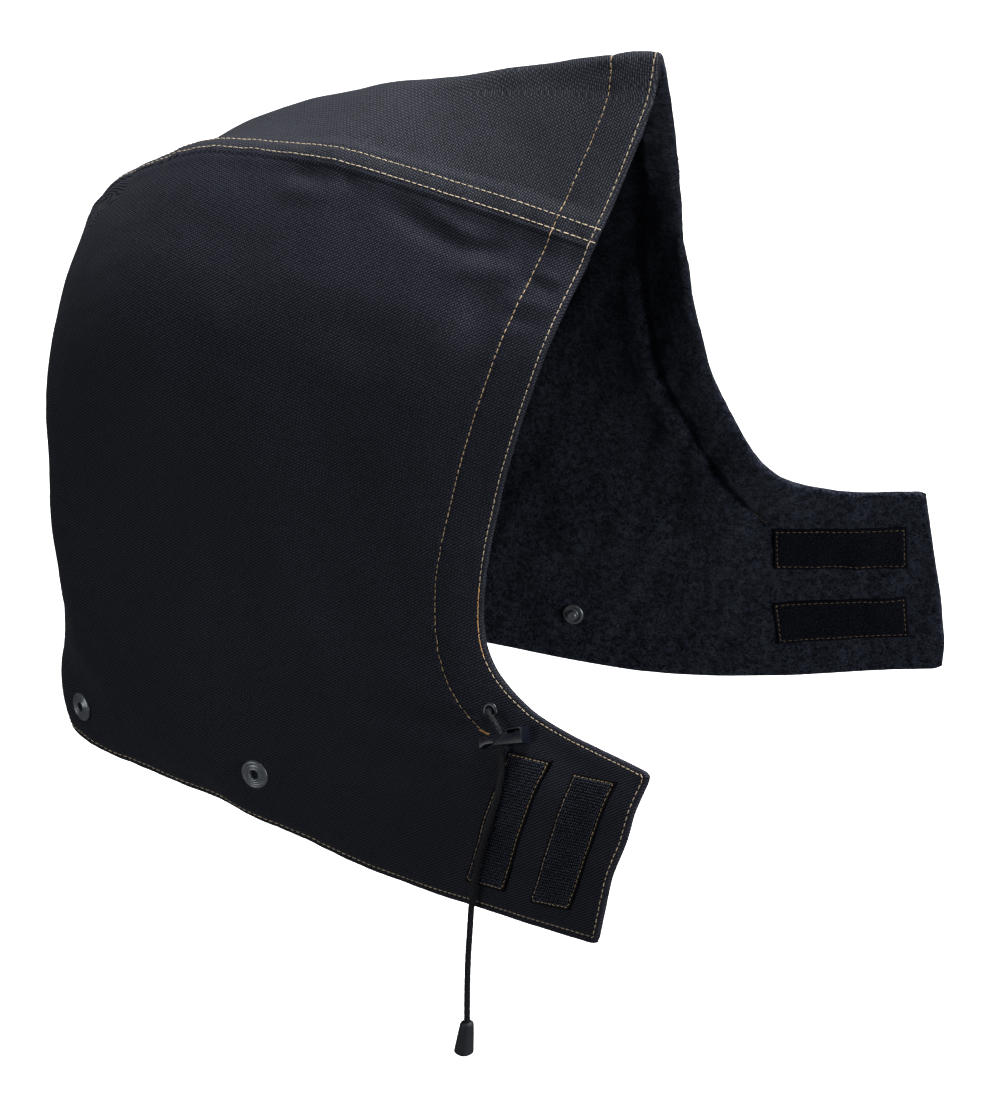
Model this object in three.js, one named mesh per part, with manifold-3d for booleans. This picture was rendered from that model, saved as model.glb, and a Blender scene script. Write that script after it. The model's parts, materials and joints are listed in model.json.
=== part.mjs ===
import * as THREE from 'three';
import { mergeVertices } from 'three/addons/utils/BufferGeometryUtils.js';
import Module from 'manifold-3d';

// A detachable lined work hood with open chin flaps, in millimetres.
// The wearer faces -Y, the wearer's right is -X and +Z is up.
// The origin is where the crown of the head meets the lining.

const wasm = await Module();
wasm.setup();

// Sizes of the whole hood
const HOOD_WIDTH = 200;
const HOOD_DEPTH = 300;
const HOOD_HEIGHT = 400;

// Cloth
const CANVAS = 1.2;
const FLEECE = 2.4;
const GAP = 0.3;
const FLAP_CORNER = 5;
const CREASE_REACH = 1.6;

// Hook and loop tape
const TAPE_THICKNESS = 1.4;
const TAPE_SEAT_RADIUS = 4;
const TAPE_MARGIN_ALONG = 0.023;
const TAPE_MARGIN_ACROSS = 0.06;

// Snap fasteners
const SNAP_FLANGE_RADIUS = 7.4;
const SNAP_RISE = 1.4;
const SNAP_EYE_RADIUS = 2.3;
const BARREL_RADIUS = 2;
const BARREL_BORE = 1.4;
const STUD_BASE_RADIUS = 5.5;
const STUD_BASE_RISE = 1.2;
const STUD_NUB_RADIUS = 3.2;
const STUD_HEIGHT = 3.6;
const STUD_BORE_DEPTH = 2.6;
const BARREL_REACH = 2;

// Drawcord, its eyelet and its moulded end
const CORD_RADIUS = 1.5;
const EYELET_FLANGE_RADIUS = 4.2;
const EYELET_BORE = 2.1;
const EYELET_BARREL_RADIUS = 2.6;
const EYELET_RISE = 0.9;
const CORD_END_TOP_RADIUS = 3;
const CORD_END_BASE_RADIUS = 4.6;
const CORD_END_LENGTH = 14.5;
const CORD_IN_END = 5;

// Cord lock
const LOCK_LENGTH = 17.5;
const LOCK_THICKNESS = 7;
const LOCK_LOW = 2.6;
const LOCK_TAIL_LOW = 3.3;
const LOCK_SHOULDER = 2.3;
const LOCK_TAIL_HIGH = 4.5;
const LOCK_EDGE = 0.4;
const CORD_STATION = 2.4;
const PLUNGER_WIDTH = 4.9;
const PLUNGER_HALF_HEIGHT = 1.3;
const PLUNGER_INNER_END = 5.2;
const PLUNGER_NECK = 5.2;
const PLUNGER_HEAD_END = 8.5;
const PLUNGER_HEAD_HALF_HEIGHT = 2.9;
const PLUNGER_TRAVEL = 3.2;
const BORE_END = 10.8;
const SPRING_COIL_RADIUS = 1;
const SPRING_WIRE_RADIUS = 0.25;
const SPRING_TURNS = 4;

// The hood's shape is a net of eight lines that run from the front edge back to the hem:
// crown centre, crown ridge, crown seam, temple, cheek, jaw, throat and flap tip.
// Each line has seven points: front edge, brow, middle, back, nape, low and hem.
// A point is sideways, forward and up, as shares of the hood's width, depth and height.
const RIGHT_LINES = {
  crown: [
    [0, 0.58, 0.165], [0, 0.337, 0.107], [0, -0.033, 0.003], [0, -0.24, -0.087],
    [0, -0.42, -0.225], [0, -0.437, -0.54], [0, -0.413, -0.855],
  ],
  ridge: [
    [0.045, 0.58, 0.113], [0.05, 0.337, 0.083], [0.085, -0.027, -0.003], [0.07, -0.237, -0.083],
    [0.06, -0.417, -0.22], [0.06, -0.437, -0.54], [0.07, -0.413, -0.855],
  ],
  seam: [
    [0.21, 0.547, -0.037], [0.23, 0.33, -0.018], [0.225, 0.027, -0.015], [0.195, -0.207, -0.06],
    [0.17, -0.393, -0.182], [0.18, -0.42, -0.527], [0.2, -0.407, -0.855],
  ],
  temple: [
    [0.37, 0.52, -0.147], [0.43, 0.333, -0.163], [0.46, 0.03, -0.177], [0.43, -0.247, -0.215],
    [0.36, -0.393, -0.3], [0.39, -0.39, -0.615], [0.365, -0.39, -0.858],
  ],
  cheek: [
    [0.48, 0.467, -0.372], [0.505, 0.307, -0.427], [0.52, 0.07, -0.475], [0.51, -0.14, -0.55],
    [0.49, -0.277, -0.635], [0.47, -0.3, -0.745], [0.435, -0.267, -0.855],
  ],
  jaw: [
    [0.515, 0.473, -0.51], [0.55, 0.367, -0.593], [0.555, 0.24, -0.677], [0.55, 0.107, -0.745],
    [0.54, 0.047, -0.78], [0.53, 0.02, -0.812], [0.51, 0.007, -0.845],
  ],
  throat: [
    [0.56, 0.557, -0.552], [0.61, 0.5, -0.632], [0.62, 0.43, -0.698], [0.61, 0.36, -0.762],
    [0.605, 0.333, -0.79], [0.6, 0.31, -0.815], [0.59, 0.29, -0.843],
  ],
  tip: [
    [0.73, 0.837, -0.535], [0.75, 0.823, -0.575], [0.77, 0.813, -0.618], [0.785, 0.8, -0.66],
    [0.79, 0.797, -0.69], [0.8, 0.793, -0.725], [0.805, 0.783, -0.762],
  ],
};
const LEFT_LINES = {
  ridge: [
    [0.045, 0.58, 0.113], [0.05, 0.337, 0.08], [0.085, -0.03, -0.013], [0.07, -0.243, -0.098],
    [0.06, -0.417, -0.23], [0.06, -0.437, -0.54], [0.07, -0.413, -0.855],
  ],
  seam: [
    [0.21, 0.543, -0.028], [0.23, 0.33, -0.03], [0.225, 0.017, -0.062], [0.195, -0.23, -0.125],
    [0.17, -0.397, -0.235], [0.18, -0.42, -0.527], [0.2, -0.407, -0.855],
  ],
  temple: [
    [0.36, 0.507, -0.18], [0.43, 0.327, -0.185], [0.46, 0.017, -0.203], [0.43, -0.24, -0.245],
    [0.365, -0.387, -0.34], [0.39, -0.39, -0.623], [0.365, -0.39, -0.858],
  ],
  cheek: [
    [0.5, 0.52, -0.383], [0.53, 0.333, -0.435], [0.53, 0.08, -0.485], [0.51, -0.14, -0.555],
    [0.49, -0.277, -0.637], [0.47, -0.3, -0.75], [0.435, -0.267, -0.86],
  ],
  jaw: [
    [0.585, 0.6, -0.51], [0.595, 0.453, -0.603], [0.575, 0.28, -0.685], [0.56, 0.127, -0.76],
    [0.55, 0.073, -0.795], [0.54, 0.04, -0.828], [0.525, 0.02, -0.868],
  ],
  throat: [
    [0.67, 0.68, -0.537], [0.66, 0.587, -0.627], [0.65, 0.5, -0.703], [0.635, 0.433, -0.767],
    [0.63, 0.413, -0.795], [0.625, 0.403, -0.823], [0.62, 0.4, -0.855],
  ],
  tip: [
    [0.76, 0.82, -0.532], [0.77, 0.83, -0.585], [0.78, 0.84, -0.637], [0.79, 0.85, -0.69],
    [0.795, 0.853, -0.718], [0.8, 0.857, -0.75], [0.805, 0.853, -0.792],
  ],
};

// Places on the net: the first number runs across the hood from -7 at the right flap's tip
// through 0 at the crown centre to 7 at the left flap's tip, and the second runs from 0 at
// the front edge to 6 at the hem.
const SNAP_PLACES = {
  right_back: [-3.52, 5.67],
  right_side: [-4.99, 3.85],
  left_side: [5.41, 3.5],
  left_back: [3.52, 5.67],
};
const EYELET_PLACE = [-5.7, 0.36];
const HOOK_PATCHES = {
  hook_patch_front: [[-6.59, 0.64], [-6.83, 0.57], [-6.86, 4.84], [-6.71, 4.88]],
  hook_patch_rear: [[-6.15, 0.66], [-6.4, 0.57], [-6.57, 4.69], [-6.41, 4.63]],
};
const LOOP_PATCHES = {
  loop_patch_upper: [[5.85, 0.79], [6.16, 1.53], [6.856, 1.89], [6.83, 0.91]],
  loop_patch_lower: [[6.33, 2.6], [6.41, 4.36], [6.865, 4.49], [6.855, 2.81]],
};

// The cord lock's mouth, the way its barrel runs and the way its flat face looks
const LOCK_MOUTH = new THREE.Vector3(-124.2, -159.8, -236.5);
const LOCK_AXIS = new THREE.Vector3(0, -0.902, 0.431).normalize();
const LOCK_FACE = new THREE.Vector3(-0.858, 0.221, 0.463).normalize();

// The drawcord from inside its eyelet, through the lock and down to its end
const CORD_ROUTE = [
  [-111.4, -150.1, -230.2], [-112.8, -149.9, -229.6], [-114.7, -149.8, -228.9],
  [-116.6, -150.5, -228.3], [-118.2, -152.3, -228.2], [-119.6, -154.9, -228.9],
  [-120.9, -157.4, -230.4], [-122.1, -159.8, -232.3], [-123.2, -161.2, -234],
  [-124.2, -162, -235.5], [-125.2, -162.7, -237], [-126.4, -163.6, -238.9],
  [-127.5, -164.6, -241.4], [-128.8, -165.5, -245], [-130.6, -166.1, -250],
  [-133.9, -165.6, -259.6], [-136.9, -163.8, -271.6], [-138.3, -161.3, -283.5],
  [-139.2, -159, -295], [-140.2, -157.4, -306.3], [-140.8, -156, -318.2],
  [-141, -155, -334], [-141, -154, -350.5], [-141, -153.5, -366], [-141, -153.3, -380],
  [-141, -153.3, -393],
];

const clothThickness = CANVAS + GAP + FLEECE;
const LAST_STATION = 7;
const LAST_ROW = 6;
const SEAM_STATION = 2;

function netPoint(shares, side) {
  return new THREE.Vector3(
    side * shares[0] * HOOD_WIDTH,
    -shares[1] * HOOD_DEPTH,
    shares[2] * HOOD_HEIGHT,
  );
}

const lineNames = Object.keys(RIGHT_LINES);
const rightCurves = lineNames
  .slice(1)
  .reverse()
  .map((name) => new THREE.CatmullRomCurve3(RIGHT_LINES[name].map((p) => netPoint(p, -1))));
const centreCurve = new THREE.CatmullRomCurve3(RIGHT_LINES.crown.map((p) => netPoint(p, 1)));
const leftCurves = lineNames
  .slice(1)
  .map((name) => new THREE.CatmullRomCurve3(LEFT_LINES[name].map((p) => netPoint(p, 1))));
const netCurves = [...rightCurves, centreCurve, ...leftCurves];

const bands = new Map();

function bandAt(row) {
  if (!bands.has(row)) {
    const points = netCurves.map((curve) => curve.getPoint(row / LAST_ROW));
    bands.set(row, new THREE.CatmullRomCurve3(points));
  }
  return bands.get(row);
}

// A point of the outer face
function facePoint(station, row) {
  return bandAt(row).getPoint((station + LAST_STATION) / (2 * LAST_STATION));
}

// The outward direction at a point of the outer face
function outward(station, row) {
  const step = 0.004;
  const across = facePoint(Math.min(LAST_STATION, station + step), row)
    .sub(facePoint(Math.max(-LAST_STATION, station - step), row));
  const down = facePoint(station, Math.min(LAST_ROW, row + step))
    .sub(facePoint(station, Math.max(0, row - step)));
  return across.cross(down).normalize();
}

function sunkPoint(station, row, depth) {
  return facePoint(station, row).addScaledVector(outward(station, row), -depth);
}

// Under the crown crease the two sides of a deeper layer meet on the centre plane.
// This gives the station where a side's layer first reaches that plane.
function creaseStation(side, row, depth) {
  if (side * sunkPoint(side * 0.02, row, depth).x >= 0) {
    return 0;
  }
  let low = 0.02;
  let high = CREASE_REACH;
  for (let turn = 0; turn < 30; turn += 1) {
    const middle = (low + high) / 2;
    if (side * sunkPoint(side * middle, row, depth).x < 0) {
      low = middle;
    } else {
      high = middle;
    }
  }
  return high;
}

// A point of a layer that lies at a depth under the outer face
function layerPoint(station, row, depth) {
  if (depth <= 0 || Math.abs(station) >= SEAM_STATION) {
    return sunkPoint(station, row, depth);
  }
  if (station === 0) {
    const right = sunkPoint(-creaseStation(-1, row, depth), row, depth);
    const left = sunkPoint(creaseStation(1, row, depth), row, depth);
    return new THREE.Vector3(0, (right.y + left.y) / 2, (right.z + left.z) / 2);
  }
  const side = Math.sign(station);
  const start = creaseStation(side, row, depth);
  const share = Math.abs(station) / SEAM_STATION;
  return sunkPoint(side * (start + share * (SEAM_STATION - start)), row, depth);
}

// The flap's corners are round: a net place near a corner moves onto a quarter circle.
function roundedPlace(station, row) {
  const side = Math.sign(station);
  const end = row < LAST_ROW / 2 ? 0 : LAST_ROW;
  const inner = end === 0 ? 0.5 : LAST_ROW - 0.5;
  const tip = facePoint(side * LAST_STATION, end);
  const across = 0.5 * FLAP_CORNER / tip.distanceTo(facePoint(side * (LAST_STATION - 0.5), end));
  const down = 0.5 * FLAP_CORNER / tip.distanceTo(facePoint(side * LAST_STATION, inner));
  const u = 1 - (LAST_STATION - Math.abs(station)) / across;
  const v = 1 - Math.abs(row - end) / down;
  if (u <= 0 || v <= 0) {
    return [station, row];
  }
  const nearTip = u * Math.sqrt(1 - v * v / 2);
  const nearEdge = v * Math.sqrt(1 - u * u / 2);
  const movedRow = (1 - nearEdge) * down;
  return [side * (LAST_STATION - (1 - nearTip) * across), end === 0 ? movedRow : LAST_ROW - movedRow];
}

// A closed slab between an upper and a lower grid of points
function slab(columns, rows, upper, lower) {
  const positions = [];
  const index = [];
  const wide = columns.length;
  const tall = rows.length;
  for (const place of [upper, lower]) {
    for (const row of rows) {
      for (const column of columns) {
        positions.push(...place(column, row).toArray());
      }
    }
  }
  const top = (i, j) => j * wide + i;
  const bottom = (i, j) => wide * tall + top(i, j);
  const quad = (a, b, c, d) => index.push(a, b, c, a, c, d);
  for (let j = 0; j + 1 < tall; j += 1) {
    for (let i = 0; i + 1 < wide; i += 1) {
      quad(top(i, j), top(i + 1, j), top(i + 1, j + 1), top(i, j + 1));
      quad(bottom(i, j), bottom(i, j + 1), bottom(i + 1, j + 1), bottom(i + 1, j));
    }
  }
  for (let i = 0; i + 1 < wide; i += 1) {
    quad(top(i, 0), bottom(i, 0), bottom(i + 1, 0), top(i + 1, 0));
    quad(top(i, tall - 1), top(i + 1, tall - 1), bottom(i + 1, tall - 1), bottom(i, tall - 1));
  }
  for (let j = 0; j + 1 < tall; j += 1) {
    quad(top(0, j), top(0, j + 1), bottom(0, j + 1), bottom(0, j));
    quad(top(wide - 1, j), bottom(wide - 1, j), bottom(wide - 1, j + 1), top(wide - 1, j + 1));
  }
  const geometry = new THREE.BufferGeometry();
  geometry.setAttribute('position', new THREE.Float32BufferAttribute(positions, 3));
  geometry.setIndex(index);
  return facingOut(geometry);
}

// Merges shared corners and turns the faces outward
function facingOut(geometry) {
  const bare = geometry.clone();
  bare.deleteAttribute('normal');
  bare.deleteAttribute('uv');
  const merged = mergeVertices(bare, 1e-4);
  const corners = merged.getAttribute('position');
  const index = Array.from(merged.index.array);
  const kept = [];
  let volume = 0;
  for (let i = 0; i < index.length; i += 3) {
    const [a, b, c] = index.slice(i, i + 3);
    if (a === b || b === c || c === a) {
      continue;
    }
    kept.push(a, b, c);
    const p = new THREE.Vector3().fromBufferAttribute(corners, a);
    const q = new THREE.Vector3().fromBufferAttribute(corners, b);
    const r = new THREE.Vector3().fromBufferAttribute(corners, c);
    volume += p.dot(q.cross(r));
  }
  if (volume < 0) {
    kept.reverse();
  }
  merged.setIndex(kept);
  return merged;
}

function solidOf(geometry) {
  const shape = facingOut(geometry);
  const corners = shape.getAttribute('position').array;
  return new wasm.Manifold(new wasm.Mesh({
    numProp: 3,
    vertProperties: new Float32Array(corners),
    triVerts: new Uint32Array(shape.index.array),
  }));
}

function geometryOf(solid) {
  const mesh = solid.getMesh();
  const geometry = new THREE.BufferGeometry();
  geometry.setAttribute('position', new THREE.Float32BufferAttribute(mesh.vertProperties, 3));
  geometry.setIndex(Array.from(mesh.triVerts));
  return geometry;
}

// A round piece whose profile holds [radius, height] pairs, with its height along a direction
function turned(profile, sides, centre, direction) {
  const geometry = new THREE.LatheGeometry(profile.map(([r, h]) => new THREE.Vector2(r, h)), sides);
  const turn = new THREE.Quaternion()
    .setFromUnitVectors(new THREE.Vector3(0, 1, 0), direction.clone().normalize());
  geometry.applyQuaternion(turn);
  geometry.translate(centre.x, centre.y, centre.z);
  return facingOut(geometry);
}

// How far the highest part of a face stands over a place, within a disc around it
function seatHeight(geometry, centre, direction, radius) {
  const reach = 20;
  const body = new THREE.Mesh(geometry);
  const sideways = new THREE.Vector3(0, 0, 1).cross(direction).normalize();
  const upways = direction.clone().cross(sideways);
  let highest = -reach;
  for (let ring = 0; ring <= 4; ring += 1) {
    for (let spoke = 0; spoke < 24; spoke += 1) {
      const angle = 2 * Math.PI * spoke / 24;
      const from = centre.clone()
        .addScaledVector(sideways, radius * ring / 4 * Math.cos(angle))
        .addScaledVector(upways, radius * ring / 4 * Math.sin(angle))
        .addScaledVector(direction, reach);
      const hits = new THREE.Raycaster(from, direction.clone().negate()).intersectObject(body);
      if (hits.length > 0) {
        highest = Math.max(highest, reach - hits[0].distance);
      }
    }
  }
  return highest;
}

// Looks
const canvasLook = { color: 0x17181d, roughness: 0.85, metalness: 0 };
const fleeceLook = { color: 0x10131c, roughness: 1, metalness: 0 };
const hookLook = { color: 0x0c0d11, roughness: 0.7, metalness: 0 };
const loopLook = { color: 0x0e1018, roughness: 0.95, metalness: 0 };
const snapLook = { color: 0x2b2d31, roughness: 0.35, metalness: 0.6 };
const plasticLook = { color: 0x1c1e22, roughness: 0.45, metalness: 0 };
const cordLook = { color: 0x15171c, roughness: 0.8, metalness: 0 };
const springLook = { color: 0xc9ccd0, roughness: 0.25, metalness: 1 };

const hood = new THREE.Group();
hood.name = 'hood';

function add(name, geometry, look) {
  const mesh = new THREE.Mesh(geometry, new THREE.MeshStandardMaterial(look));
  mesh.name = name;
  hood.add(mesh);
  return mesh;
}

// Cloth panels: the outer canvas and the fleece lining share one cut
const CROWN_COLUMNS = [-2, -1.5, -1, -0.6, -0.25, 0, 0.25, 0.6, 1, 1.5, 2];
const SIDE_COLUMNS = [2, 2.35, 2.7, 3, 3.3, 3.65, 4, 4.35, 4.7, 5, 5.35, 5.7, 6, 6.3, 6.6, 6.94, 7];
const PANEL_ROWS = [0, 0.33, 0.66, 1, 1.4, 1.8, 2.2, 2.6, 3, 3.4, 3.8, 4.2, 4.6, 5, 5.33, 5.67, 6];

// Panels stop half a gap short of the crown seam
function panelPlace(station, row, depth, panelSide) {
  const [s, t] = Math.abs(station) > 6 ? roundedPlace(station, row) : [station, row];
  const point = layerPoint(s, t, depth);
  if (Math.abs(station) === SEAM_STATION) {
    const away = facePoint(s + 0.02, t).sub(facePoint(s - 0.02, t)).normalize();
    point.addScaledVector(away, panelSide * GAP / 2);
  }
  return point;
}

function clothPanel(columns, upperDepth, lowerDepth) {
  const middle = (columns[0] + columns[columns.length - 1]) / 2;
  const inward = (station) => Math.sign(middle - station);
  return slab(
    columns,
    PANEL_ROWS,
    (s, t) => panelPlace(s, t, upperDepth, inward(s)),
    (s, t) => panelPlace(s, t, lowerDepth, inward(s)),
  );
}

const rightColumns = SIDE_COLUMNS.map((s) => -s).reverse();
const panels = {
  crown_panel: clothPanel(CROWN_COLUMNS, 0, CANVAS),
  side_panel_right: clothPanel(rightColumns, 0, CANVAS),
  side_panel_left: clothPanel(SIDE_COLUMNS, 0, CANVAS),
  lining_crown: clothPanel(CROWN_COLUMNS, CANVAS + GAP, clothThickness),
  lining_right: clothPanel(rightColumns, CANVAS + GAP, clothThickness),
  lining_left: clothPanel(SIDE_COLUMNS, CANVAS + GAP, clothThickness),
};
const cutters = { side_panel_right: [], side_panel_left: [], lining_right: [], lining_left: [] };

function roundCutter(radius, from, to) {
  const height = from.distanceTo(to);
  const profile = [[0, 0], [radius, 0], [radius, height], [0, height]];
  return turned(profile, 14, from, to.clone().sub(from));
}

// Snap fasteners: an eyelet ring outside, whose barrel goes through both layers into a stud inside
function addSnap(name, place) {
  const side = place[0] < 0 ? 'right' : 'left';
  const centre = facePoint(...place);
  const out = outward(...place);
  const inner = centre.clone().addScaledVector(out, -clothThickness);
  const back = out.clone().negate();
  const shell = panels[`side_panel_${side}`];
  const lining = panels[`lining_${side}`];
  const ringLift = GAP + seatHeight(shell, centre, out, SNAP_FLANGE_RADIUS);
  const studLift = GAP + seatHeight(lining, inner, back, STUD_BASE_RADIUS);
  const ringSeat = centre.clone().addScaledVector(out, ringLift);
  const studSeat = inner.clone().addScaledVector(back, studLift);
  const barrel = ringSeat.distanceTo(studSeat) + BARREL_REACH;
  const ringProfile = [
    [BARREL_BORE, -barrel],
    [BARREL_BORE, 0.2],
    [SNAP_EYE_RADIUS, SNAP_RISE - 0.2],
    [3, SNAP_RISE - 0.1],
    [4.3, SNAP_RISE - 0.6],
    [5.8, SNAP_RISE],
    [7.1, 0.8],
    [SNAP_FLANGE_RADIUS, 0],
    [BARREL_RADIUS, 0],
    [BARREL_RADIUS, -barrel],
    [BARREL_BORE, -barrel],
  ];
  const studBore = BARREL_RADIUS + GAP;
  const studProfile = [
    [0, STUD_HEIGHT],
    [2.6, STUD_HEIGHT],
    [STUD_NUB_RADIUS, 3],
    [STUD_NUB_RADIUS - 0.3, 2],
    [3.4, STUD_BASE_RISE],
    [5, STUD_BASE_RISE],
    [STUD_BASE_RADIUS, 0.7],
    [STUD_BASE_RADIUS, 0],
    [studBore, 0],
    [studBore, STUD_BORE_DEPTH],
    [0, STUD_BORE_DEPTH],
  ];
  add(`snap_ring_${name}`, turned(ringProfile, 18, ringSeat, out), snapLook);
  add(`snap_stud_${name}`, turned(studProfile, 16, studSeat, back), snapLook);
  const hole = roundCutter(
    BARREL_RADIUS + GAP,
    centre.clone().addScaledVector(out, 5),
    inner.clone().addScaledVector(back, 5),
  );
  cutters[`side_panel_${side}`].push(hole);
  cutters[`lining_${side}`].push(hole);
}

for (const [name, place] of Object.entries(SNAP_PLACES)) {
  addSnap(name, place);
}

// Cord eyelet, in the canvas alone
const eyeletCentre = facePoint(...EYELET_PLACE);
const eyeletOut = outward(...EYELET_PLACE);
const eyeletLift = GAP
  + seatHeight(panels.side_panel_right, eyeletCentre, eyeletOut, EYELET_FLANGE_RADIUS);
const eyeletDepth = CANVAS + eyeletLift - 0.1;
add('cord_eyelet', turned([
  [EYELET_BORE, -eyeletDepth],
  [EYELET_BORE, EYELET_RISE - 0.3],
  [2.9, EYELET_RISE],
  [3.8, EYELET_RISE - 0.2],
  [EYELET_FLANGE_RADIUS, 0],
  [EYELET_BARREL_RADIUS, 0],
  [EYELET_BARREL_RADIUS, -eyeletDepth],
  [EYELET_BORE, -eyeletDepth],
], 18, eyeletCentre.clone().addScaledVector(eyeletOut, eyeletLift), eyeletOut), snapLook);
cutters.side_panel_right.push(roundCutter(
  EYELET_BARREL_RADIUS + GAP,
  eyeletCentre.clone().addScaledVector(eyeletOut, 4),
  eyeletCentre.clone().addScaledVector(eyeletOut, -CANVAS - GAP / 2),
));

for (const [name, geometry] of Object.entries(panels)) {
  let solid = solidOf(geometry);
  for (const cutter of cutters[name] ?? []) {
    solid = solid.subtract(solidOf(cutter));
  }
  add(name, geometryOf(solid), name.startsWith('lining') ? fleeceLook : canvasLook);
}

// Tape patches are straight between four net places and lie on the cloth: hooks outside,
// loops inside. Each point of a patch is seated on the highest cloth within a small disc.
function tapePatch(corners, panel, depth, facing) {
  const spots = corners.map((place) => sunkPoint(...place, depth));
  const ways = corners.map((place) => outward(...place).multiplyScalar(facing));
  const between = (four, u, v) => {
    const first = four[0].clone().multiplyScalar(1 - u).addScaledVector(four[1], u);
    const last = four[3].clone().multiplyScalar(1 - u).addScaledVector(four[2], u);
    return first.multiplyScalar(1 - v).addScaledVector(last, v);
  };
  const lifted = (rise) => (u, v) => {
    const spot = between(spots, u, v);
    const direction = between(ways, u, v).normalize();
    const lift = GAP + seatHeight(panel, spot, direction, TAPE_SEAT_RADIUS);
    return spot.addScaledVector(direction, lift + rise);
  };
  const widths = [-TAPE_MARGIN_ACROSS, 0.33, 0.67, 1 + TAPE_MARGIN_ACROSS];
  const lengths = [-TAPE_MARGIN_ALONG, 0.15, 0.32, 0.5, 0.68, 0.85, 1 + TAPE_MARGIN_ALONG];
  return slab(widths, lengths, lifted(TAPE_THICKNESS), lifted(0));
}

for (const [name, corners] of Object.entries(HOOK_PATCHES)) {
  add(name, tapePatch(corners, panels.side_panel_right, 0, 1), hookLook);
}
for (const [name, corners] of Object.entries(LOOP_PATCHES)) {
  add(name, tapePatch(corners, panels.lining_left, clothThickness, -1), loopLook);
}

// Cord lock: x runs along the barrel from its mouth, y up across it and z out of its flat face
const lockUp = LOCK_FACE.clone().cross(LOCK_AXIS).normalize();
const lockFrame = new THREE.Matrix4()
  .makeBasis(LOCK_AXIS, lockUp, LOCK_AXIS.clone().cross(lockUp))
  .setPosition(LOCK_MOUTH);

function boxBetween(low, high) {
  const size = high.map((value, k) => value - low[k]);
  const geometry = new THREE.BoxGeometry(...size);
  return geometry.translate(...low.map((value, k) => value + size[k] / 2));
}

// A flat outline in x and y, thickened evenly to both sides of z = 0
function plate(outline, thickness, edge) {
  const shape = new THREE.Shape(outline.map(([x, y]) => new THREE.Vector2(x, y)));
  const geometry = new THREE.ExtrudeGeometry(shape, {
    depth: thickness - 2 * edge,
    bevelEnabled: edge > 0,
    bevelThickness: edge,
    bevelSize: edge,
    bevelOffset: -edge,
    bevelSegments: 1,
  });
  return geometry.translate(0, 0, edge - thickness / 2);
}

const cordHole = CORD_RADIUS + GAP;
const tailSlot = [
  [10.6, 2.1], [15.6, 2.1], [16.3, 2.5], [16.5, 3], [16.3, 3.5], [15.6, 3.9],
  [10.6, 3.9], [9.9, 3.6], [9.6, 3], [9.9, 2.4],
];
const lockOutline = [
  [0, -LOCK_LOW],
  [LOCK_LENGTH, -LOCK_TAIL_LOW],
  [LOCK_LENGTH, LOCK_TAIL_HIGH],
  [9.3, LOCK_TAIL_HIGH],
  [7.6, LOCK_SHOULDER],
  [0, LOCK_SHOULDER],
];
const cordThroughLock = new THREE.CylinderGeometry(cordHole, cordHole, 12, 16)
  .translate(CORD_STATION, 0, 0);
const plungerBore = boxBetween(
  [-1, -PLUNGER_HALF_HEIGHT - GAP, -PLUNGER_WIDTH / 2 - GAP],
  [BORE_END, PLUNGER_HALF_HEIGHT + GAP, PLUNGER_WIDTH / 2 + GAP],
);
const coilWindow = boxBetween([5.2, 1, -2], [8.4, LOCK_TAIL_HIGH, 2]);
const lockBody = solidOf(plate(lockOutline, LOCK_THICKNESS, LOCK_EDGE))
  .subtract(solidOf(plate(tailSlot, 2 * LOCK_THICKNESS, 0)))
  .subtract(solidOf(plungerBore))
  .subtract(solidOf(cordThroughLock))
  .subtract(solidOf(coilWindow));
add('lock_barrel', geometryOf(lockBody).applyMatrix4(lockFrame), plasticLook);

// The plunger's slot leaves the cord room over the whole travel
const plungerOutline = [
  [PLUNGER_INNER_END, -PLUNGER_HALF_HEIGHT],
  [PLUNGER_INNER_END, PLUNGER_HALF_HEIGHT],
  [-PLUNGER_NECK, PLUNGER_HALF_HEIGHT],
  [-PLUNGER_HEAD_END, PLUNGER_HEAD_HALF_HEIGHT],
  [-PLUNGER_HEAD_END, -PLUNGER_HEAD_HALF_HEIGHT],
  [-PLUNGER_NECK, -PLUNGER_HALF_HEIGHT],
];
const plungerSlot = boxBetween(
  [CORD_STATION - cordHole - PLUNGER_TRAVEL, -4, -cordHole],
  [CORD_STATION + cordHole, 4, cordHole],
);
const plunger = solidOf(plate(plungerOutline, PLUNGER_WIDTH, 0)).subtract(solidOf(plungerSlot));
add('lock_plunger', geometryOf(plunger).applyMatrix4(lockFrame), plasticLook);

// The coil spring stands between the plunger and the bore's end
class Coil extends THREE.Curve {
  getPoint(share, target = new THREE.Vector3()) {
    const margin = GAP + SPRING_WIRE_RADIUS;
    const from = PLUNGER_INNER_END + margin;
    const to = BORE_END - margin;
    const angle = 2 * Math.PI * SPRING_TURNS * share;
    return target.set(
      from + (to - from) * share,
      SPRING_COIL_RADIUS * Math.cos(angle),
      SPRING_COIL_RADIUS * Math.sin(angle),
    );
  }
}

function roundSection(radius, sides) {
  const corners = [];
  for (let k = 0; k < sides; k += 1) {
    const angle = 2 * Math.PI * (k + 0.5) / sides;
    corners.push(new THREE.Vector2(radius * Math.cos(angle), radius * Math.sin(angle)));
  }
  return new THREE.Shape(corners);
}

const springGeometry = new THREE.ExtrudeGeometry(roundSection(SPRING_WIRE_RADIUS, 5), {
  steps: 32,
  extrudePath: new Coil(),
});
add('lock_spring', facingOut(springGeometry).applyMatrix4(lockFrame), springLook);

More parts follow.
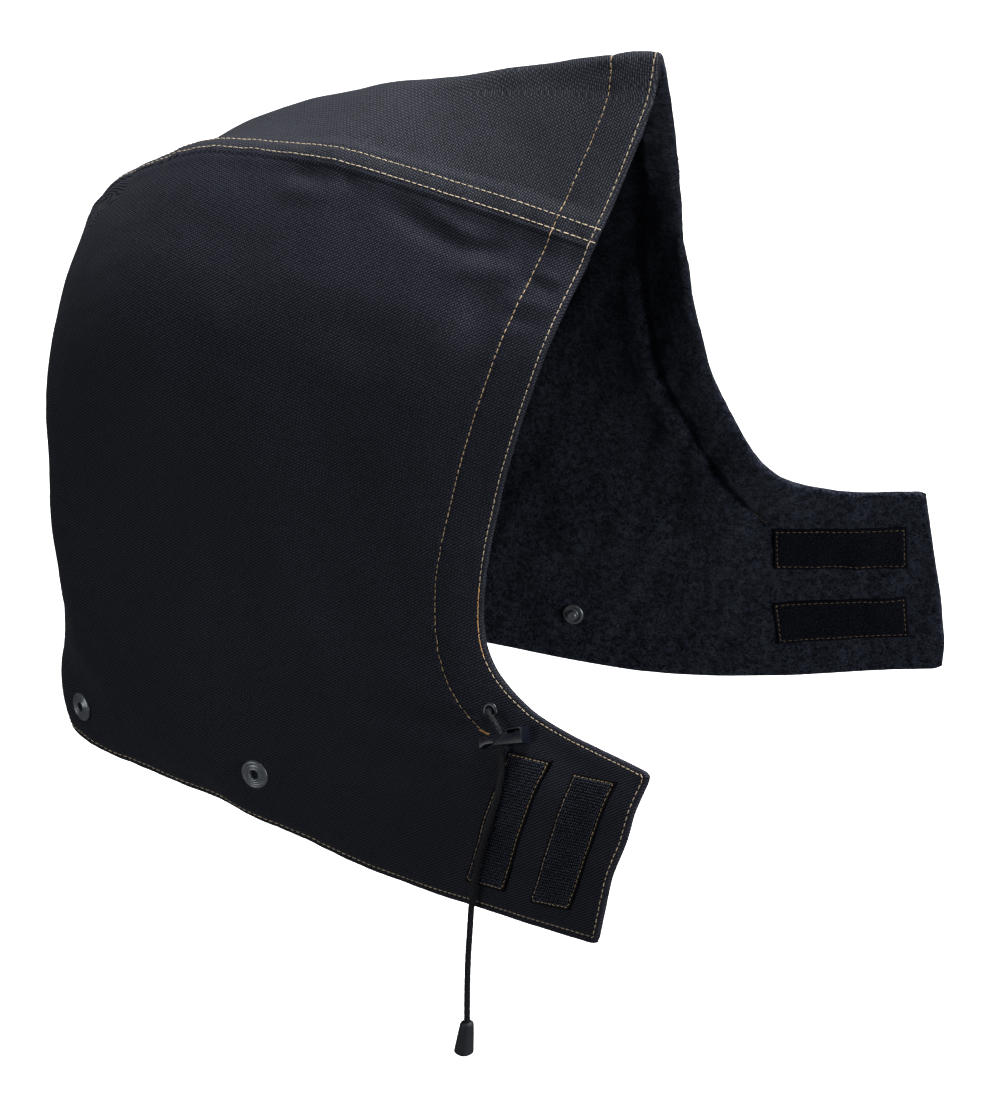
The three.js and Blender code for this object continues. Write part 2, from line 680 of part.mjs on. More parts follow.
// Drawcord
const cordPath = new THREE.CatmullRomCurve3(CORD_ROUTE.map((p) => new THREE.Vector3(...p)));
const cordGeometry = new THREE.ExtrudeGeometry(roundSection(CORD_RADIUS, 8), {
  steps: 54,
  extrudePath: cordPath,
});
add('drawcord', facingOut(cordGeometry), cordLook);

// The moulded end hangs on the cord and is blind below it
const cordTail = new THREE.Vector3(...CORD_ROUTE[CORD_ROUTE.length - 1]);
const endProfile = [
  [0, CORD_IN_END - CORD_END_LENGTH + GAP - 2],
  [CORD_END_BASE_RADIUS - 0.6, CORD_IN_END - CORD_END_LENGTH + GAP - 2],
  [CORD_END_BASE_RADIUS, CORD_IN_END - CORD_END_LENGTH + GAP - 1],
  [CORD_END_TOP_RADIUS, CORD_IN_END - 1],
  [CORD_END_TOP_RADIUS - 0.6, CORD_IN_END],
  [CORD_RADIUS + GAP, CORD_IN_END],
  [CORD_RADIUS + GAP, -GAP],
  [0, -GAP],
];
add('cord_end', turned(endProfile, 18, cordTail, new THREE.Vector3(0, 0, 1)), plasticLook);

export default hood;
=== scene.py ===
import json
import math

import bmesh
import bpy
import numpy as np
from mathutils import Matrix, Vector
from mathutils.bvhtree import BVHTree

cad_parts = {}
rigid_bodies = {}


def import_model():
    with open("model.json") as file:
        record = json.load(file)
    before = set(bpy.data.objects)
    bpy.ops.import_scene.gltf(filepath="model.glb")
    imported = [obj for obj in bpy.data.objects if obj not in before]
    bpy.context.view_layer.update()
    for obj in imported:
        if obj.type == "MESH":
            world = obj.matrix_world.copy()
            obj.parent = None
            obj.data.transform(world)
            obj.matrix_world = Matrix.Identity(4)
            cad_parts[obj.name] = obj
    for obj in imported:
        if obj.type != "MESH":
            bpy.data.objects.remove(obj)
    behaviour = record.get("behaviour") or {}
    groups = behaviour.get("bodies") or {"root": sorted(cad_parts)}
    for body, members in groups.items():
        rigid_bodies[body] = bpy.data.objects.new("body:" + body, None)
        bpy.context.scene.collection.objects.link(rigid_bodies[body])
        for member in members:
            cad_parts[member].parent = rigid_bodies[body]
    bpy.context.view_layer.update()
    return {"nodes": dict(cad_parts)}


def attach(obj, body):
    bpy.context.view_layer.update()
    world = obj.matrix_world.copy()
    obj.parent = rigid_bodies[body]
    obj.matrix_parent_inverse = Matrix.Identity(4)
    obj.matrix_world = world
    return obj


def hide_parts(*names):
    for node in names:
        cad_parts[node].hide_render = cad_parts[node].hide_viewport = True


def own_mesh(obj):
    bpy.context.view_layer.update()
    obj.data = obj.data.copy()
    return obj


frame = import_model()

# A detachable lined work hood: three canvas panels over three fleece panels, in metres.
# The wearer faces -Y, the wearer's right is -X and +Z is up.

MM = 0.001

# Sizes of the whole hood
HOOD_WIDTH = 0.200
HOOD_DEPTH = 0.300
HOOD_HEIGHT = 0.400

# Cloth
CANVAS = 1.2 * MM
FLEECE = 2.4 * MM
GAP = 0.3 * MM
CLOTH = CANVAS + GAP + FLEECE
FLAP_CORNER = 5 * MM
CREASE_REACH = 1.6

# Turn of the cloth's threads from the way forward
SIDE_GRAIN = math.radians(38)
CROWN_GRAIN = math.radians(74)

# Sewing
EDGE_STITCH = 2.4 * MM
HEM_STITCH = 4.4 * MM
SEAM_STITCH_LOW = 1.9 * MM
SEAM_STITCH_HIGH = 8.4 * MM
STITCH_PITCH = 3.3 * MM
THREAD_RADIUS = 0.21 * MM
STITCH_DENT = 0.35 * MM
TAPE_THICKNESS = 1.1 * MM
TAPE_MARGIN = 1.7 * MM

# Weave of the canvas and braid of the cord
WEAVE_PITCH = 1.18 * MM
BRAID_STRANDS = 6
BRAID_PITCH = 4.6 * MM

# Relief: how the tunnel puffs and is drawn in, how the crown laps over the sides,
# and how the edges turn in
TUNNEL_PUFF = 0.6 * MM
TUNNEL_GROOVE = 0.6 * MM
FLEECE_PUFF = 1.4 * MM
FLEECE_GROOVE = 1.7 * MM
LAP_RISE = 1.3 * MM
LAP_FULL = 10 * MM
LAP_END = 15 * MM
CURL_REACH = 2.4 * MM
CURL_DEPTH = 1.8 * MM

# What stays between canvas and fleece, and the thinnest that a layer gets where it turns in
CANVAS_CLEAR = 0.12 * MM
FLEECE_CLEAR = 0.16 * MM
THINNEST = 0.05 * MM

# The net of lines that gives the hood its shape. Each line runs from the front edge back to
# the hem, and a point is sideways, forward and up, as shares of the hood's sizes.
RIGHT_LINES = {
    "crown": [
        [0, 0.58, 0.165], [0, 0.337, 0.107], [0, -0.033, 0.003], [0, -0.24, -0.087],
        [0, -0.42, -0.225], [0, -0.437, -0.54], [0, -0.413, -0.855],
    ],
    "ridge": [
        [0.045, 0.58, 0.113], [0.05, 0.337, 0.083], [0.085, -0.027, -0.003],
        [0.07, -0.237, -0.083], [0.06, -0.417, -0.22], [0.06, -0.437, -0.54],
        [0.07, -0.413, -0.855],
    ],
    "seam": [
        [0.21, 0.547, -0.037], [0.23, 0.33, -0.018], [0.225, 0.027, -0.015],
        [0.195, -0.207, -0.06], [0.17, -0.393, -0.182], [0.18, -0.42, -0.527],
        [0.2, -0.407, -0.855],
    ],
    "temple": [
        [0.37, 0.52, -0.147], [0.43, 0.333, -0.163], [0.46, 0.03, -0.177],
        [0.43, -0.247, -0.215], [0.36, -0.393, -0.3], [0.39, -0.39, -0.615],
        [0.365, -0.39, -0.858],
    ],
    "cheek": [
        [0.48, 0.467, -0.372], [0.505, 0.307, -0.427], [0.52, 0.07, -0.475],
        [0.51, -0.14, -0.55], [0.49, -0.277, -0.635], [0.47, -0.3, -0.745],
        [0.435, -0.267, -0.855],
    ],
    "jaw": [
        [0.515, 0.473, -0.51], [0.55, 0.367, -0.593], [0.555, 0.24, -0.677],
        [0.55, 0.107, -0.745], [0.54, 0.047, -0.78], [0.53, 0.02, -0.812],
        [0.51, 0.007, -0.845],
    ],
    "throat": [
        [0.56, 0.557, -0.552], [0.61, 0.5, -0.632], [0.62, 0.43, -0.698],
        [0.61, 0.36, -0.762], [0.605, 0.333, -0.79], [0.6, 0.31, -0.815],
        [0.59, 0.29, -0.843],
    ],
    "tip": [
        [0.73, 0.837, -0.535], [0.75, 0.823, -0.575], [0.77, 0.813, -0.618],
        [0.785, 0.798, -0.66], [0.79, 0.79, -0.69], [0.8, 0.784, -0.725],
        [0.805, 0.776, -0.762],
    ],
}
LEFT_LINES = {
    "ridge": [
        [0.045, 0.58, 0.113], [0.05, 0.337, 0.08], [0.085, -0.03, -0.013],
        [0.07, -0.243, -0.098], [0.06, -0.417, -0.23], [0.06, -0.437, -0.54],
        [0.07, -0.413, -0.855],
    ],
    "seam": [
        [0.21, 0.543, -0.028], [0.23, 0.33, -0.03], [0.225, 0.017, -0.062],
        [0.195, -0.23, -0.125], [0.17, -0.397, -0.235], [0.18, -0.42, -0.527],
        [0.2, -0.407, -0.855],
    ],
    "temple": [
        [0.36, 0.507, -0.18], [0.43, 0.327, -0.185], [0.46, 0.017, -0.203],
        [0.43, -0.24, -0.245], [0.365, -0.387, -0.34], [0.39, -0.39, -0.623],
        [0.365, -0.39, -0.858],
    ],
    "cheek": [
        [0.5, 0.52, -0.383], [0.53, 0.333, -0.435], [0.53, 0.08, -0.485],
        [0.51, -0.14, -0.555], [0.49, -0.277, -0.637], [0.47, -0.3, -0.75],
        [0.435, -0.267, -0.854],
    ],
    "jaw": [
        [0.585, 0.6, -0.51], [0.595, 0.453, -0.603], [0.575, 0.28, -0.685],
        [0.56, 0.127, -0.76], [0.55, 0.073, -0.795], [0.54, 0.04, -0.828],
        [0.525, 0.02, -0.861],
    ],
    "throat": [
        [0.67, 0.68, -0.537], [0.66, 0.587, -0.627], [0.65, 0.5, -0.703],
        [0.635, 0.433, -0.767], [0.63, 0.413, -0.795], [0.625, 0.403, -0.823],
        [0.62, 0.4, -0.855],
    ],
    "tip": [
        [0.76, 0.82, -0.532], [0.77, 0.83, -0.585], [0.78, 0.84, -0.637],
        [0.79, 0.85, -0.69], [0.795, 0.853, -0.718], [0.8, 0.857, -0.75],
        [0.805, 0.853, -0.792],
    ],
}
LAST_STATION = 7
LAST_ROW = 6
SEAM_STATION = 2
LAP_EDGE = SEAM_STATION + 0.02
SIDES = ((-1, "right"), (1, "left"))

# Places on the net: station from -7 at the right flap's tip to 7 at the left one's,
# and row from 0 at the front edge to 6 at the hem
SNAP_PLACES = {
    "right_back": (-3.52, 5.67),
    "right_side": (-4.99, 3.85),
    "left_side": (5.41, 3.5),
    "left_back": (3.52, 5.67),
}
EYELET_PLACE = (-5.7, 0.36)
HOOK_PATCHES = {
    "front": [(-6.59, 0.64), (-6.83, 0.57), (-6.86, 4.84), (-6.71, 4.88)],
    "rear": [(-6.15, 0.66), (-6.4, 0.57), (-6.57, 4.69), (-6.41, 4.63)],
}
LOOP_PATCHES = {
    "upper": [(5.85, 0.79), (6.16, 1.53), (6.856, 1.89), (6.83, 0.91)],
    "lower": [(6.33, 2.6), (6.41, 4.36), (6.865, 4.49), (6.855, 2.81)],
}

# The tunnel's stitch line on the net, from its right end to its left one
TUNNEL_LINE = [
    (-5.85, 0.62), (-5.73, 0.63), (-5.23, 0.6), (-4.63, 0.6), (-4.17, 0.57), (-3.83, 0.5),
    (-3.24, 0.44), (-2.6, 0.37), (-2.08, 0.33), (-1.68, 0.32), (-1.16, 0.3), (-0.6, 0.32),
    (0, 0.35), (0.6, 0.32), (1.16, 0.3), (1.68, 0.32), (2.08, 0.34), (2.45, 0.43), (2.8, 0.52),
    (3.2, 0.58), (3.46, 0.59), (3.7, 0.555), (4.0, 0.52), (4.32, 0.488), (4.6, 0.48),
    (4.85, 0.5), (5.1, 0.55), (5.3, 0.6), (5.5, 0.65),
]

# The way that each snap faces: the cloth is pulled flat around it, gives way a little
# and lies still near it
SNAP_FACING = {
    "right_back": (-0.9, 0.395, 0.1),
    "right_side": (-0.985, -0.055, 0.16),
    "left_side": (0.95, 0.25, -0.17),
    "left_back": (0.91, 0.39, -0.14),
}
SNAP_FLAT = 9 * MM
SNAP_PULL = 40 * MM
SNAP_GIVE = 0.3
SNAP_CALM = 11 * MM

# Folds in the cloth: both ends on the net, then width and height in mm, less than 0 for a valley
FOLDS = [
    ((-2.12, 2.04), (-2.12, 1.84), 5, -2.4),
    ((-2.27, 2.06), (-2.24, 1.76), 5, 1.4),
    ((-2.09, 1.74), (-2.1, 1.62), 4, -1.8),
    ((-2.2, 1.4), (-2.3, 1.0), 5, -2.3),
    ((-2.13, 1.2), (-2.25, 0.8), 4, 1.4),
    ((-2.3, 0.93), (-2.27, 0.65), 4, -2.1),
    ((-2.48, 0.95), (-2.4, 0.55), 5, 1.7),
    ((-2.52, 0.6), (-2.85, 0.7), 7, -2.0),
    ((-2.58, 0.4), (-2.97, 0.42), 5, 0.9),
    ((-2.98, 1.54), (-2.99, 1.15), 16, -2.2),
    ((-2.65, 1.85), (-2.85, 1.5), 20, 1.6),
    ((-2.33, 0.4), (-2.37, 0.13), 2.6, 0.9),
    ((-2.43, 0.4), (-2.48, 0.12), 2.6, -0.9),
    ((-2.57, 0.41), (-2.62, 0.1), 2.8, 0.7),
    ((-2.72, 0.41), (-2.78, 0.12), 2.8, -0.7),
    ((-4.78, 1.73), (-5.74, 0.73), 7, -1.4),
    ((-4.86, 1.96), (-5.81, 1.15), 8, 0.9),
    ((-4.64, 0.62), (-4.66, 1.07), 4, -0.9),
    ((-4.95, 0.62), (-4.96, 1.11), 4, -0.9),
    ((-4.36, 2.39), (-4.77, 0.7), 9, -0.8),
    ((5.55, 0.6), (5.65, 1.59), 5, 1.2),
    ((5.47, 0.87), (5.95, 2.46), 9, -1.2),
    ((4.35, 0.45), (4.91, 1.28), 9, 1.2),
    ((5.15, 1.96), (4.55, 1.5), 14, -1.4),
    ((5.65, 4.6), (6.1, 4.1), 8, 0.9),
]

# The drawcord from inside its eyelet, through the lock and down to its end, in mm
CORD_ROUTE = [
    [-111.4, -150.1, -230.2], [-112.8, -149.9, -229.6], [-114.7, -149.8, -228.9],
    [-116.6, -150.5, -228.3], [-118.2, -152.3, -228.2], [-119.6, -154.9, -228.9],
    [-120.9, -157.4, -230.4], [-122.1, -159.8, -232.3], [-123.2, -161.2, -234],
    [-124.2, -162, -235.5], [-125.2, -162.7, -237], [-126.4, -163.6, -238.9],
    [-127.5, -164.6, -241.4], [-128.8, -165.5, -245], [-130.6, -166.1, -250],
    [-133.9, -165.6, -259.6], [-136.9, -163.8, -271.6], [-138.3, -161.3, -283.5],
    [-139.2, -159, -295], [-140.2, -157.4, -306.3], [-140.8, -156, -318.2],
    [-141, -155, -334], [-141, -154, -350.5], [-141, -153.5, -366], [-141, -153.3, -380],
    [-141, -153.3, -393],
]
CORD_RADIUS = 1.5 * MM
LOCK_MOUTH = Vector((-0.1242, -0.1598, -0.2365))
LOCK_AXIS = Vector((0, -0.902, 0.431)).normalized()
LOCK_FACE = Vector((-0.858, 0.221, 0.463)).normalized()


# Pieces and what carries them
def in_scene(name, data):
    obj = bpy.data.objects.new(name, data)
    bpy.context.scene.collection.objects.link(obj)
    return obj


def new_piece(name, vertices, faces, material):
    """A smooth piece of one material."""
    mesh = bpy.data.meshes.new(name)
    mesh.from_pydata(vertices, [], faces)
    mesh.shade_smooth()
    mesh.materials.append(material)
    return in_scene(name, mesh)


def turn_outward(obj):
    """Faces outward, told by the sign of the volume."""
    shape = bmesh.new()
    shape.from_mesh(obj.data)
    bmesh.ops.recalc_face_normals(shape, faces=shape.faces)
    if shape.calc_volume(signed=True) < 0:
        bmesh.ops.reverse_faces(shape, faces=shape.faces)
    shape.to_mesh(obj.data)
    shape.free()


def ring_faces(count, sides, joined=False):
    """Faces between rings of points, where the last ring may join the first."""
    faces = []
    for j in range(count if joined else count - 1):
        k = (j + 1) % count
        for i in range(sides):
            m = (i + 1) % sides
            faces.append((j * sides + i, j * sides + m, k * sides + m, k * sides + i))
    return faces


def end_fan(row, sides, middle):
    """Faces that close a ring to its middle point."""
    return [(row * sides + i, row * sides + (i + 1) % sides, middle) for i in range(sides)]


def square_to(way):
    """Two directions square to a way and to each other."""
    first = np.cross(way, (0.31, 0.17, 0.93))
    first /= np.linalg.norm(first)
    return first, np.cross(way, first)


# Camera
CAMERA_AIM = Vector((0, -0.09, -0.221))
CAMERA_DISTANCE = 2.4
CAMERA_TURN = math.radians(-60)
CAMERA_RISE = math.radians(30)


def add_camera():
    level = math.cos(CAMERA_RISE)
    back = Vector((
        math.sin(CAMERA_TURN) * level, -math.cos(CAMERA_TURN) * level, math.sin(CAMERA_RISE)
    ))
    data = bpy.data.cameras.new("camera")
    data.lens = 159
    data.sensor_width = 36
    data.clip_start = 0.05
    data.clip_end = 60
    camera = in_scene("camera", data)
    camera.location = CAMERA_AIM + CAMERA_DISTANCE * back
    camera.rotation_euler = back.to_track_quat("Z", "Y").to_euler()
    bpy.context.scene.camera = camera


add_camera()


# The net as one surface
def placed(points, side):
    return [[side * p[0] * HOOD_WIDTH, -p[1] * HOOD_DEPTH, p[2] * HOOD_HEIGHT] for p in points]


LINE_NAMES = list(RIGHT_LINES)
NET = np.array(
    [placed(RIGHT_LINES[name], -1) for name in reversed(LINE_NAMES[1:])]
    + [placed(RIGHT_LINES["crown"], 1)]
    + [placed(LEFT_LINES[name], 1) for name in LINE_NAMES[1:]]
)


def smooth_curve(points, place):
    """Centripetal curve: points (..., n, 3) and a place (...) from 0 to n - 1."""
    count = points.shape[-2]
    first = np.clip(np.floor(place).astype(int), 0, count - 2)
    w = (place - first)[..., None]
    start = 2 * points[..., :1, :] - points[..., 1:2, :]
    end = 2 * points[..., -1:, :] - points[..., -2:-1, :]
    longer = np.concatenate([start, points, end], axis=-2)
    x0, x1, x2, x3 = (
        np.take_along_axis(longer, (first + k)[..., None, None], axis=-2)[..., 0, :]
        for k in range(4)
    )

    def knot(a, b):
        return ((b - a) ** 2).sum(-1, keepdims=True) ** 0.25

    d0, d1, d2 = knot(x0, x1), knot(x1, x2), knot(x2, x3)
    t1 = ((x1 - x0) / d0 - (x2 - x0) / (d0 + d1) + (x2 - x1) / d1) * d1
    t2 = ((x2 - x1) / d1 - (x3 - x1) / (d1 + d2) + (x3 - x2) / d2) * d1
    return (
        x1
        + t1 * w
        + (-3 * x1 + 3 * x2 - 2 * t1 - t2) * w**2
        + (2 * x1 - 2 * x2 + t1 + t2) * w**3
    )


def face_point(station, row):
    """Points of the hood's outer face."""
    station, row = np.broadcast_arrays(np.asarray(station, float), np.asarray(row, float))
    rows, back = np.unique(row, return_inverse=True)
    shape = (len(rows), *NET.shape)
    bands = smooth_curve(np.broadcast_to(NET, shape), np.broadcast_to(rows[:, None], shape[:2]))
    return smooth_curve(bands[back.reshape(row.shape)], station + LAST_STATION)


def outward(station, row):
    """The way out of the face, from its slopes over a small step on the net."""
    step = 0.004
    across = face_point(np.minimum(LAST_STATION, station + step), row) - face_point(
        np.maximum(-LAST_STATION, station - step), row
    )
    down = face_point(station, np.minimum(LAST_ROW, row + step)) - face_point(
        station, np.maximum(0, row - step)
    )
    normal = np.cross(across, down)
    return normal / np.linalg.norm(normal, axis=-1, keepdims=True)


def sunk_point(station, row, depth):
    return face_point(station, row) - outward(station, row) * depth


def crease_station(side, rows, depth):
    """Where a side's deeper layer first reaches the centre plane, for each row."""
    low = np.full(len(rows), 0.02)
    high = np.full(len(rows), CREASE_REACH)
    open_there = side * sunk_point(side * low, rows, depth)[:, 0] >= 0
    for _ in range(30):
        middle = (low + high) / 2
        over = side * sunk_point(side * middle, rows, depth)[:, 0] < 0
        low = np.where(over, middle, low)
        high = np.where(over, high, middle)
    return np.where(open_there, 0, high)


def layer_places(stations, rows, depth):
    """Stations that a layer at a depth really takes, so that its two sides meet at the crease."""
    taken = np.broadcast_to(stations, (len(rows), len(stations))).copy()
    if depth <= 0:
        return taken
    for side in (-1, 1):
        start = crease_station(side, rows, depth)[:, None]
        inner = (side * taken > 0) & (np.abs(taken) < SEAM_STATION)
        moved = side * (start + np.abs(taken) / SEAM_STATION * (SEAM_STATION - start))
        taken = np.where(inner, moved, taken)
    return taken


def layer_grid(stations, rows, places, depth):
    """Points and outward directions of a layer."""
    row_grid = places[1]
    taken = places[0]
    if np.abs(stations).min() < SEAM_STATION:
        taken = layer_places(stations, rows, depth)
    normal = outward(taken, row_grid)
    point = face_point(taken, row_grid) - normal * depth
    centre = np.flatnonzero(stations == 0)
    if len(centre):
        middle = centre[0]
        if depth > 0:
            pair = []
            for side in (-1, 1):
                start = crease_station(side, rows, depth)
                pair.append(sunk_point(side * start, rows, depth))
            point[:, middle] = (pair[0] + pair[1]) / 2
        point[:, middle, 0] = 0
        normal[:, middle, 0] = 0
        normal[:, middle] /= np.linalg.norm(normal[:, middle], axis=-1, keepdims=True)
    return point, normal


def rounded_places(stations, rows):
    """Net places of a grid, with the flap's two corners drawn in to quarter circles."""
    station = np.broadcast_to(stations, (len(rows), len(stations))).copy()
    row = np.broadcast_to(rows[:, None], station.shape).copy()
    for side in (-1, 1):
        for end in (0, LAST_ROW):
            inner = 0.5 if end == 0 else LAST_ROW - 0.5
            tip = face_point(side * LAST_STATION, end)
            beside = face_point(side * (LAST_STATION - 0.5), end)
            across = 0.5 * FLAP_CORNER / np.linalg.norm(tip - beside)
            down = 0.5 * FLAP_CORNER / np.linalg.norm(
                tip - face_point(side * LAST_STATION, inner)
            )
            u = 1 - (LAST_STATION - side * station) / across
            v = 1 - np.abs(row - end) / down
            near = (u > 0) & (v > 0)
            near_tip = u * np.sqrt(np.maximum(0, 1 - v * v / 2))
            near_edge = v * np.sqrt(np.maximum(0, 1 - u * u / 2))
            moved_station = side * (LAST_STATION - (1 - near_tip) * across)
            moved_row = np.abs(end - (1 - near_edge) * down)
            station = np.where(near, moved_station, station)
            row = np.where(near, moved_row, row)
    return station, row


# Soft unevenness, the same at every run
def uneven(points, wave, seed, count=14):
    """Smooth unevenness of about -1 to 1 with bumps of a given wave length."""
    draw = np.random.default_rng(seed)
    total = np.zeros(points.shape[:-1])
    for _ in range(count):
        way = draw.normal(size=points.shape[-1])
        way *= 2 * np.pi / (wave * draw.uniform(0.7, 1.5) * np.linalg.norm(way))
        total += np.sin(points @ way + draw.uniform(0, 2 * np.pi))
    return total * np.sqrt(2 / count) / 1.6


def hump(distance, width):
    return np.exp(-((distance / width) ** 2))


def ease(value, start, end):
    share = np.clip((value - start) / (end - start), 0, 1)
    return share * share * (3 - 2 * share)


def quiet_spots(point):
    """1 on free cloth, towards 0 at the snaps and the eyelet, which hold the cloth flat."""
    calm = np.ones(point.shape[:-1])
    for place in [*SNAP_PLACES.values(), EYELET_PLACE]:
        gap = np.linalg.norm(point - face_point(*place), axis=-1)
        calm *= 1 - hump(gap, SNAP_CALM)
    return calm


def fold_height(point):
    """How far the folds lift the cloth: each is a rounded ridge that fades at both ends."""
    height = np.zeros(point.shape[:-1])
    for start, end, width, rise in FOLDS:
        a = face_point(*start)
        b = face_point(*end)
        way = b - a
        length = np.linalg.norm(way)
        share = np.clip((point - a) @ way / length**2, 0, 1)
        off = np.linalg.norm(point - a - share[..., None] * way, axis=-1)
        taper = 1 - 0.55 * np.abs(2 * share - 1) ** 2
        height += rise * MM * taper * hump(off, width * MM)
    return height


def tunnel_row(station):
    """The row of the tunnel's stitch line."""
    stations, rows = zip(*TUNNEL_LINE)
    return np.interp(station, stations, rows)


def snap_pull(point):
    """How the cloth swings round each snap, so that the snap faces its own way."""
    height = np.zeros(point.shape[:-1])
    for word, place in SNAP_PLACES.items():
        centre = face_point(*place)
        normal = outward(*place)
        facing = SNAP_GIVE * np.array(SNAP_FACING[word]) + (1 - SNAP_GIVE) * normal
        offset = point - centre
        far = np.linalg.norm(offset, axis=-1)
        swing = -(offset @ facing) / (normal @ facing)
        height += swing * (1 - ease(far, SNAP_FLAT, SNAP_PULL))
    return height


def tunnel_there(station):
    """1 where the tunnel runs, fading to 0 just past its two ends."""
    first = TUNNEL_LINE[0][0]
    last = TUNNEL_LINE[-1][0]
    return ease(station, first - 0.1, first + 0.1) * (1 - ease(station, last - 0.1, last + 0.1))


def cloth_relief(point, station, edges):
    """How far the whole cloth stands out from its plain form."""
    inside = ease(edges["free"], 0, 18 * MM)
    relief = 1.1 * MM * uneven(point, 95 * MM, 3) * (0.25 + 0.75 * inside)
    relief += 0.35 * MM * uneven(point, 34 * MM, 4)
    relief += 0.10 * MM * uneven(point, 15 * MM, 5)
    relief += fold_height(point)
    side_cloth = ease(np.abs(station), SEAM_STATION - 0.01, SEAM_STATION + 0.01)
    relief -= side_cloth * 0.5 * MM * hump(edges["seam"] - 0.8 * MM, 0.7 * MM)
    relief += side_cloth * 0.7 * MM * hump(edges["seam"] - 5.5 * MM, 3.4 * MM)
    along = edges["along_seam"][..., None]
    relief += 0.45 * MM * uneven(along, 17 * MM, 6) * hump(edges["seam"], 9 * MM)
    return relief * quiet_spots(point) + snap_pull(point)


def canvas_relief(point, station, edges):
    """What the stitch rows and the doubled cloth add on the outside."""
    front = edges["front"]
    line = edges["tunnel"]
    there = tunnel_there(station)
    across = edges["across"][..., None]
    relief = there * TUNNEL_PUFF * np.sin(np.pi * np.clip(front / line, 0, 1))
    relief -= there * TUNNEL_GROOVE * hump(front - line, 1.1 * MM)
    relief += there * 0.28 * MM * uneven(across, 10 * MM, 7) * hump(front - line, 6 * MM)
    relief -= 0.25 * MM * hump(edges["inset"], 0.8 * MM)
    relief += 0.2 * MM * hump(edges["inset"] - 4 * MM, 3 * MM)
    relief += 0.13 * MM * uneven(point, 8 * MM, 8) * hump(edges["free"], 6 * MM)
    crown_cloth = 1 - ease(np.abs(station), SEAM_STATION + 0.03, SEAM_STATION + 0.05)
    seam = edges["seam"]
    lap = LAP_RISE * (1 - ease(seam, LAP_FULL, LAP_END))
    lap *= 0.5 + 0.5 * ease(edges["free"], 0, 9 * MM)
    for row_line in (SEAM_STITCH_LOW, SEAM_STITCH_HIGH):
        lap -= STITCH_DENT * hump(seam - row_line, 0.8 * MM)
    lap -= STITCH_DENT * (1 - ease(seam, 0, 0.5 * MM))
    return relief, lap * crown_cloth


def fleece_relief(point, station, edges):
    """Pile and the pulled-in line of the tunnel, measured towards the head."""
    front = edges["front"]
    line = edges["tunnel"]
    there = tunnel_there(station)
    relief = FLEECE_PUFF * there * np.sin(np.pi * np.clip(front / line, 0, 1)) ** 0.8
    relief -= there * FLEECE_GROOVE * hump(front - line, 2.8 * MM)
    relief += there * 0.6 * MM * hump(front - line - 9 * MM, 5.5 * MM)
    relief += there * 0.6 * MM * uneven(point, 18 * MM, 17) * hump(front - line, 9 * MM)
    relief += 0.16 * MM * uneven(point, 5.5 * MM, 18, 24)
    relief += 0.45 * MM * uneven(point, 22 * MM, 19)
    relief -= 0.5 * MM * hump(edges["seam"], 2 * MM)
    relief += 0.35 * MM * hump(edges["seam"] - 5 * MM, 3 * MM)
    return relief


def edge_curl(free):
    """How deep the face has turned in near a free edge, towards the middle of the cloth."""
    share = np.clip(free / CURL_REACH, 0, 1)
    return CURL_DEPTH * (1 - np.sqrt(1 - (1 - share) ** 2))


# Grids of the panels, closer where the cloth turns or is stitched
EDGE_ROWS = [0, 0.004, 0.01, 0.02, 0.035, 0.055, 0.08, 0.11, 0.14, 0.17]
ROWS = np.concatenate([
    EDGE_ROWS,
    np.arange(0.2, 0.66, 0.0135),
    np.arange(0.67, 5.8, 0.036),
    LAST_ROW - np.array(EDGE_ROWS[::-1]),
])
SEAM_STEPS = np.array([-0.025, -0.01, 0.005, 0.02, 0.035, 0.05, 0.07, 0.09, 0.115, 0.14, 0.17])
TIP_STEPS = np.array([0.125, 0.1, 0.08, 0.063, 0.048, 0.036, 0.026, 0.018, 0.012, 0.007, 0.003, 0])
SIDE_STATIONS = np.concatenate([
    SEAM_STATION + SEAM_STEPS,
    np.arange(2.2, 6.86, 0.03),
    LAST_STATION - TIP_STEPS,
])
LIP_STEPS = np.array([0, 0.006, 0.014, 0.025, 0.04, 0.06, 0.085, 0.115, 0.145, 0.175, 0.21, 0.25])
HALF_CROWN = np.concatenate([
    [0.05, 0.12, 0.2],
    np.arange(0.27, 1.78, 0.068),
    LAP_EDGE - LIP_STEPS[::-1],
])
CROWN_STATIONS = np.concatenate([-HALF_CROWN[::-1], [0], HALF_CROWN])
CROWN_LINING_STATIONS = np.clip(CROWN_STATIONS, -SEAM_STATION, SEAM_STATION)


def lengths_along(points, axis):
    """Cloth length from the first row or column of a grid."""
    steps = np.linalg.norm(np.diff(points, axis=axis), axis=-1)
    start = np.zeros_like(np.take(steps, [0], axis=axis))
    return np.concatenate([start, np.cumsum(steps, axis=axis)], axis=axis)


